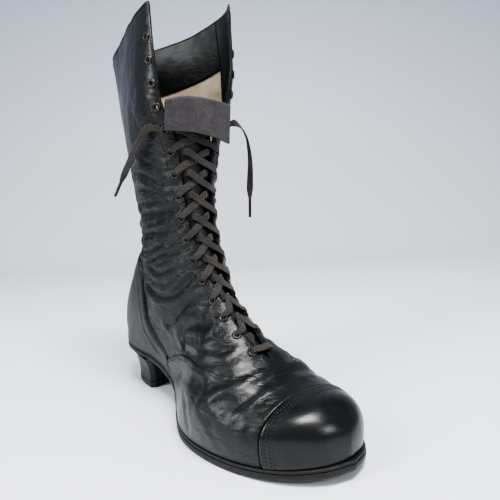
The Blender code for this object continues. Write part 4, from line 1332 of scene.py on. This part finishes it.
def overlays():
    vamp = overlay("vamp_overlay", VAMP_LEATHER, vamp_signed, cap_signed)
    VAMP_LOOK.on(vamp)
    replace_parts(vamp, "vamp")
    cap = overlay("toe_cap_overlay", CAP_LEATHER, cap_signed)
    soften_tip(cap)
    CAP_LOOK.on(cap)
    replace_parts(cap, "toe_cap")
    heel_counter()


leather_shell()
lining()
overlays()


# Eyelets


def eyelets():
    """Rolled rings: a domed flange outside, a tube, and a flatter flange inside."""
    bore, flange = EYELET_BORE, EYELET_FLANGE
    profile = [
        (bore, -2.7), (bore, 0.55), (bore + 0.12, 0.86), (bore + 0.45, 1.08), (bore + 0.95, 1.05),
        (flange - 0.55, 0.78), (flange - 0.12, 0.42), (flange, 0.1), (flange - 0.25, -0.12),
        (bore + 0.6, -0.1), (bore + 0.5, -2.45), (bore + 1.75, -2.52), (bore + 1.6, -2.85),
        (bore + 0.6, -3.0),
    ]
    brass_from = 10
    sides = 26
    for side, word in SIDES:
        points = []
        faces = []
        for index in range(EYELETS):
            centre, normal, up, _ = eyelet_frame(side, index)
            faces.extend(ring_faces(len(profile), sides, len(points), closed=True))
            for spoke in spokes(up, np.cross(normal, up), sides):
                points.extend(centre + spoke * radius + normal * height for radius, height in profile)
        ring = mesh_object(f"eyelets_{word}", points, faces)
        ENAMEL_LOOK.on(ring)
        ring.data.materials.append(BRASS_LOOK.material)
        for index, polygon in enumerate(ring.data.polygons):
            corner = index % len(profile)
            if corner >= brass_from or corner == 0:
                polygon.material_index = 1
        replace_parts(ring, *[f"eyelet_{word}_{number:02d}" for number in range(1, EYELETS + 1)])


eyelets()


# Tongue


def tongue():
    """The tongue's long strip behind the lacing and its top folded forward and down."""
    rows = np.linspace(7.0, TONGUE_LAST_ROW, 90)
    shares = np.linspace(-1, 1, 49)
    sheet = []
    for row in rows:
        line = []
        for share in shares:
            side = LATERAL if share < 0 else MEDIAL
            width = float(TONGUE.at("lateral" if side == LATERAL else "medial", row))
            here, normal = LACED_SKIN[side].spot([row], [abs(share) * width])
            line.append(here[0] - normal[0] * TONGUE_DEPTH)
        sheet.append(np.array(line))
    inside = sheet[-1]
    outside = np.array(
        [
            (TONGUE_FLAP_X + TONGUE_FLAP_HALF * share, TONGUE_FLAP_T + TONGUE_FLAP_TURN * share, point[2])
            for share, point in zip(shares, inside)
        ]
    )
    for angle in np.linspace(0, math.pi, 15)[1:]:
        ahead = (1 - math.cos(angle)) / 2
        up = TONGUE_FOLD_RADIUS * math.sin(angle)
        sheet.append(inside * (1 - ahead) + outside * ahead + np.array([0.0, 0.0, up]))
    fold = sheet[-1]
    for down in np.linspace(0, 1, 24)[1:]:
        drop = (TONGUE_FLAP + TONGUE_FLAP_TILT * shares) * down
        wave = 0.6 * np.sin(shares * 4.2 + 0.6) * down + 0.2 * np.sin(shares * 9 + down * 3)
        edge = 0.12 * np.sin(shares * 9) * down**6
        moved = fold.copy()
        moved[:, 0] -= TONGUE_FLAP_SLIDE * down
        moved[:, 1] += 2.5 * down + wave
        moved[:, 2] -= drop + edge
        sheet.append(moved)
    points = np.concatenate(sheet)
    piece = mesh_object("tongue_leather", points, grid_faces(len(sheet), len(shares)))
    SUEDE_LOOK.on(piece)
    piece.data.materials.append(FACING_LOOK.material)
    thicken(piece, TONGUE_LEATHER, reverse=1)
    piece.data.shade_smooth()
    sharpen(piece, 60)
    strip = [face for face in piece.data.polygons if face.center.z < 0.17 and face.material_index == 0]
    if sum(face.normal.y for face in strip) < 0:
        for face in piece.data.polygons:
            face.material_index = 1 - face.material_index
    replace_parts(piece, "tongue")


tongue()


# Sole and heel


def outline(offset, samples=SOLE_SAMPLES):
    """The feather line all round, moved outward by the offset at each t. Points are (x, t)."""
    lateral = FEATHER[LATERAL][:, ::-1]
    medial = FEATHER[MEDIAL][::-1, ::-1]
    ring = through(np.concatenate([lateral[:-1], medial[:-1], lateral[:1]]), 960)[:-1]
    ahead = np.roll(ring, -1, axis=0) - np.roll(ring, 1, axis=0)
    ahead /= np.linalg.norm(ahead, axis=1)[:, None]
    outward = np.stack([-ahead[:, 1], ahead[:, 0]], axis=1)
    moved = ring + outward * offset(ring[:, 1])[:, None]
    closed = np.concatenate([moved, moved[:1]])
    along = distances(closed)
    return resample(closed, along, np.arange(samples) * along[-1] / samples)


def sole_rings(base, profile):
    """Rings round the sole, each at a margin beyond its edge and a height above the base."""
    rings = []
    for margin, height in profile:
        ring = outline(lambda t: SOLE_MARGIN.at("margin", t) + margin)
        rings.append(np.column_stack([ring, base(ring[:, 1]) + height]))
    return rings


def inner_ring(base, inset, height):
    ring = outline(lambda t: np.full(len(t), inset))
    return np.column_stack([ring, base(ring[:, 1]) + height])


def edge_band(name, look, node, base, profile, inset):
    """A sole layer: a closed band whose edge profile gives the margin and the height, filled inside."""
    bottom, top = (inner_ring(base, inset, profile[end][1]) for end in (0, -1))
    rings = [bottom] + sole_rings(base, profile) + [top]
    piece = mesh_object(name, np.concatenate(rings), ring_faces(SOLE_SAMPLES, len(rings), closed=True))
    sharpen(piece, 55)
    look.on(piece)
    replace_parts(piece, node)


def outsole():
    """The outsole, with a rounded edge, and a closed underside in strips across the boot."""
    profile = [(-1.15, 0.0), (-0.5, 0.22), (-0.12, 0.7), (0.0, 1.5), (0.02, 2.6), (-0.1, 3.6), (-0.45, 4.1)]
    rings = sole_rings(sole_bottom, profile)
    for height in (profile[-1][1], 0.0):
        rings.append(inner_ring(sole_bottom, -3.0, height))
    faces = ring_faces(SOLE_SAMPLES, len(rings) - 1)
    last = (len(rings) - 1) * SOLE_SAMPLES
    for corner in range(SOLE_SAMPLES):
        beside = (corner + 1) % SOLE_SAMPLES
        faces.append((last + corner, last + beside, beside, corner))
    faces.extend(strip_faces(rings[-1], last))
    faces.extend(face[::-1] for face in strip_faces(rings[-2], last - SOLE_SAMPLES))
    piece = mesh_object("outsole_leather", np.concatenate(rings), faces)
    sharpen(piece, 40)
    SOLE_LOOK.on(piece)
    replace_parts(piece, "outsole")


def strip_faces(ring, start):
    """Faces across a closed ring, between its two sides from the rear to the toe."""
    rear = int(np.argmin(ring[:, 1]))
    count = len(ring)
    faces = []
    for step in range(count // 2 - 1):
        a, b = (rear + step) % count, (rear + step + 1) % count
        c, d = (rear - step - 1) % count, (rear - step) % count
        face = [start + a, start + b, start + c, start + d]
        unique = list(dict.fromkeys(face))
        if len(unique) > 2:
            faces.append(tuple(unique))
    return faces


def welt():
    profile = [(-0.75, 0.0), (-0.55, 0.12), (-0.5, 0.5), (-0.5, 1.3), (-0.62, 1.8), (-0.95, 2.0)]

    def base(t):
        return sole_bottom(t) + OUTSOLE_LEATHER + SOLE_GAP * 0.5

    edge_band("welt_strip", SOLE_LOOK, "welt", base, profile, -1.9)


HEEL_HALF = (22.0, 28.6)
HEEL_BACK_T = (6.0, -0.6)
HEEL_BREAST_T = (52.0, 57.0)
TOP_LIFT_HEIGHT = 5.5


def heel_outline(level, sides=90):
    """The heel's outline at a level from 0, its bottom, to 1 under the sole."""
    flare = level**2.2
    half = HEEL_HALF[0] + (HEEL_HALF[1] - HEEL_HALF[0]) * flare
    back = HEEL_BACK_T[0] + (HEEL_BACK_T[1] - HEEL_BACK_T[0]) * flare
    breast = HEEL_BREAST_T[0] + (HEEL_BREAST_T[1] - HEEL_BREAST_T[0]) * level
    side_end = breast - 3.0
    angle = np.pi * np.arange(sides) / (sides - 1)
    points = [(-math.cos(a) * half, side_end - (side_end - back) * math.sin(a) ** 0.72) for a in angle]
    corner_x = half - 3.6
    for share in np.linspace(0, 1, 17):
        points.append((corner_x * (1 - 2 * share), breast - 2.4 * 4 * share * (1 - share)))
    return np.array(points)


def stack(name, rings):
    count = len(rings[0])
    bottom, top = end_caps(count, len(rings))
    faces = [bottom, *ring_faces(count, len(rings)), top]
    piece = mesh_object(name, np.concatenate(rings), faces)
    sharpen(piece, 35)
    HEEL_LOOK.on(piece)
    return piece


def shrunk(ring, by):
    """A ring moved inward by a distance, towards its middle."""
    middle = ring.mean(axis=0)
    away = ring - middle
    return middle + away * (1 - by / np.linalg.norm(away, axis=1, keepdims=True))


def heel():
    bottom = TOP_LIFT_HEIGHT + 0.15
    rings = []
    for level in np.linspace(0, 1, 34):
        ring = heel_outline(level)
        groove = 0.14 * (0.5 + 0.5 * math.cos(level * 2 * math.pi * 5.5)) ** 6
        ring = shrunk(ring, groove + 0.35 * max(0.0, 1 - level / 0.02))
        height = bottom + (sole_bottom(ring[:, 1]) - 0.2 - bottom) * level
        rings.append(np.column_stack([ring, height]))
    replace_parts(stack("heel_stack", rings), "heel_block")
    foot = heel_outline(0.0)
    top = TOP_LIFT_HEIGHT
    rings = []
    for height, by in ((0.0, 0.7), (0.25, 0.25), (0.8, 0.0), (top - 0.5, 0.0), (top - 0.1, 0.2), (top, 0.5)):
        rings.append(np.column_stack([shrunk(foot, by), np.full(len(foot), height)]))
    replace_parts(stack("heel_lift", rings), "top_lift")


outsole()
welt()
heel()
INSOLE_LOOK.on(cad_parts["insole"])


# Stitches and punched holes


def stitches_along(name, tracks, pitch=2.3, radius=0.24, lift=0.22):
    """Thread in short raised stitches along tracks of points with normals."""
    sides = 6
    shares = np.linspace(0.1, 0.9, 5)
    points = []
    faces = []
    for track, normals in tracks:
        track, normals = np.array(track), np.array(normals)
        along = distances(track)
        for number in range(int(along[-1] / pitch)):
            at = (number + shares) * pitch
            where = resample(track, along, at)
            normal = resample(normals, along, at)
            ahead = where[-1] - where[0]
            if np.linalg.norm(ahead) < 0.3:
                continue
            ahead = unit(ahead)
            start = len(points)
            for index, share in enumerate(shares):
                up = unit(normal[index])
                beside = np.cross(ahead, up)
                swell = math.sin(math.pi * (0.12 + 0.76 * (share - 0.1) / 0.8))
                middle = where[index] + up * (lift * swell - 0.12)
                for spoke in spokes(beside, up, sides):
                    points.append(middle + spoke * radius * (0.45 + 0.55 * swell))
            faces.extend(ring_faces(sides, len(shares), start))
            faces.extend(end_caps(sides, len(shares), start))
    THREAD_LOOK.on(mesh_object(name, points, faces))


def lifted(side, rows, arcs, height):
    """A track of points at a height over the worn leather, with normals."""
    where, normals = SKIN[side].spot(rows, arcs)
    return where + normals * (height + relief(where))[:, None], normals


def beside_seam(side, signed, offset, height):
    """A track beside a seam across the foot, offset in mm from it towards the toe."""
    shares = np.linspace(0.0, 0.995, 150)
    rows = np.array([seam_row(side, share, lambda line: signed(line) - offset) for share in shares])
    return lifted(side, rows, shares * SKIN[side].length(rows), height)


def beside_counter(side, offset, height):
    rows, arcs = [], []
    for row in np.linspace(*COUNTER_SEAM_ROWS, 160):
        first = counter_signed(row, side)
        if first is not None and first + offset < float(SKIN[side].length(row)) - 0.5:
            rows.append(row)
            arcs.append(first + offset)
    return lifted(side, np.array(rows), np.array(arcs), height)


def throat_track(side, offset, height, first_row=7.6):
    rows = np.linspace(first_row, LAST_ROW - 0.12, 320)
    return lifted(side, rows, throat_gap(rows) + offset, height)


def rim_track(side, down, height):
    """A track along the rim of the collar."""
    row = LAST_ROW - down / ROW_HEIGHT
    arcs = np.linspace(float(throat_gap(row)) + 1.6, float(SKIN[side].length(row)) - 0.2, 120)
    return lifted(side, np.full(120, row), arcs, height)


def back_track(side, offset, height):
    rows = np.linspace(19.6, LAST_ROW - 0.15, 120)
    return lifted(side, rows, SKIN[side].length(rows) - offset, height)


def stitching():
    cap = OVERLAY_LIFT + CAP_LEATHER
    vamp = OVERLAY_LIFT + VAMP_LEATHER
    counter = OVERLAY_LIFT + COUNTER_LEATHER
    for side, word in SIDES:
        tracks = [
            beside_seam(side, cap_signed, 1.7, cap),
            beside_seam(side, cap_signed, 7.4, cap),
            beside_seam(side, vamp_signed, 1.5, vamp),
            beside_seam(side, vamp_signed, 3.4, vamp),
            beside_counter(side, 1.6, counter),
            beside_counter(side, 3.4, counter),
            beside_counter(side, 11.0, counter),
            throat_track(side, 1.5, 0.0),
            throat_track(side, 11.5, 0.0, 8.2),
            rim_track(side, 1.6, 0.0),
            back_track(side, 1.8, 0.0),
        ]
        stitches_along(f"stitches_{word}", tracks)


def punched_holes():
    """Two rows of small punched holes in the toe cap, between its stitched lines, as raised rims round flat
    near-black discs: the black leather beneath, darkened with painted shade in place of each hole's depth.
    """
    height = OVERLAY_LIFT + CAP_LEATHER
    profile = [(0.62, 0.02), (0.72, 0.16), (0.9, 0.1), (1.02, -0.08)]
    pitch, size, sides = 2.5, 0.8, 12
    points = []
    faces = []
    for side, _ in SIDES:
        for offset, phase in ((3.3, 0.0), (5.8, 0.5)):
            track, normals = beside_seam(side, cap_signed, offset, height)
            along = distances(track)
            for number in range(int(along[-1] / pitch)):
                at = (number + phase) * pitch
                centre = resample(track, along, at)
                up = unit(resample(normals, along, at))
                across = unit(np.cross(up, (0.0, 0.0, 1.0)))
                beside = np.cross(up, across)
                start = len(points)
                for radius, rise in profile:
                    for spoke in spokes(across, beside, sides):
                        points.append(centre + spoke * radius * size + up * (rise * size + 0.03))
                faces.append(tuple(range(start, start + sides)))
                faces.extend(ring_faces(sides, len(profile), start))
    piece = mesh_object("punched_holes", points, faces)
    # The discs' near-black is the black leather under the holes plus painted shade standing for their depth
    hole_shade_look = Shader("pit_painted_shade", "cap_leather")
    hole_shade_look.give(Base_Color=(0.002, 0.002, 0.002), Roughness=0.8)
    CAP_LOOK.on(piece)
    piece.data.materials.append(hole_shade_look.material)
    for polygon in piece.data.polygons:
        if len(polygon.vertices) == sides:
            polygon.material_index = 1


def bar_tack():
    """The short bar of thread that stops the slit from tearing."""
    rows = np.linspace(THROAT_ROW - 0.28, THROAT_ROW - 0.05, 5)
    tracks = []
    for row in rows:
        points, normals = [], []
        for arc in np.linspace(-3.2, 3.2, 12):
            side = LATERAL if arc < 0 else MEDIAL
            where, normal = lifted(side, np.array([row]), np.array([abs(arc)]), 0.05)
            points.append(where[0])
            normals.append(normal[0])
        tracks.append((points, normals))
    stitches_along("bar_tack", tracks, pitch=3.1, radius=0.26, lift=0.35)


stitching()
punched_holes()
bar_tack()


# Studio


FLOOR_FRONT = -1.6
FLOOR_BACK = 0.75
FLOOR_BEND = 0.5
FLOOR_HALF_WIDTH = 2.6
WALL_TOP = 2.4


def studio():
    """A pale floor that curves up behind, darker and bluer up the sweep in painted shade, soft light from
    above and from both sides.
    """
    points = []
    profile = [(FLOOR_FRONT, 0.0), (FLOOR_BACK, 0.0)]
    for step in range(1, 13):
        angle = math.pi / 2 * step / 12
        back = FLOOR_BACK + FLOOR_BEND * math.sin(angle)
        profile.append((back, FLOOR_BEND - FLOOR_BEND * math.cos(angle)))
    profile.append((FLOOR_BACK + FLOOR_BEND, WALL_TOP))
    turn = Matrix.Rotation(CAMERA_AZIMUTH, 3, "Z")
    for x in (-FLOOR_HALF_WIDTH, FLOOR_HALF_WIDTH):
        for y, z in profile:
            points.append(tuple(turn @ Vector((x, y, z))))
    mesh = bpy.data.meshes.new("floor")
    mesh.from_pydata(points, [], grid_faces(2, len(profile)))
    mesh.shade_smooth()
    floor = linked("floor", mesh)
    paper = bpy.data.materials.new("floor_paper")
    paper.use_nodes = True
    tree = paper.node_tree
    shader = tree.nodes["Principled BSDF"]
    shader.inputs["Roughness"].default_value = 0.55
    # Painted shade: the paper's colour goes from near white on the floor to blue-grey up the sweep, as the
    # light falls off there
    spread = tree.nodes.new("ShaderNodeMapRange")
    spread.inputs["From Min"].default_value = 0.02
    spread.inputs["From Max"].default_value = 1.1
    split = tree.nodes.new("ShaderNodeSeparateXYZ")
    tree.links.new(tree.nodes.new("ShaderNodeTexCoord").outputs["Object"], split.inputs[0])
    tree.links.new(split.outputs["Z"], spread.inputs["Value"])
    shade = tree.nodes.new("ShaderNodeMix")
    shade.data_type = "RGBA"
    shade.inputs[6].default_value = (0.86, 0.87, 0.89, 1)
    shade.inputs[7].default_value = (0.42, 0.47, 0.56, 1)
    tree.links.new(spread.outputs["Result"], shade.inputs["Factor"])
    tree.links.new(shade.outputs[2], shader.inputs["Base Color"])
    mesh.materials.append(paper)
    world = bpy.data.worlds.new("studio")
    world.use_nodes = True
    sky = world.node_tree.nodes["Background"]
    sky.inputs[0].default_value = (0.84, 0.9, 1.0, 1)
    sky.inputs[1].default_value = 0.5
    bpy.context.scene.world = world
    bpy.context.scene.view_settings.look = "AgX - High Contrast"


def soft_light(name, at, aim, size, power, colour=(1, 1, 1)):
    light = bpy.data.lights.new(name, "AREA")
    light.shape = "RECTANGLE"
    light.size, light.size_y = size
    light.energy = power
    light.color = colour
    lamp = linked(name, light)
    lamp.location = at
    lamp.rotation_euler = (Vector(aim) - Vector(at)).to_track_quat("-Z", "Y").to_euler()


studio()
soft_light("light_above", (-0.1, -0.5, 1.15), (0.0, -0.1, 0.1), (0.5, 0.35), 16)
soft_light("light_left", (-1.1, 0.1, 0.75), (0.0, -0.05, 0.15), (0.35, 0.8), 9, (0.97, 0.99, 1.0))
soft_light("light_front", (0.1, -1.3, 0.7), (0.0, -0.1, 0.12), (0.45, 0.35), 4)
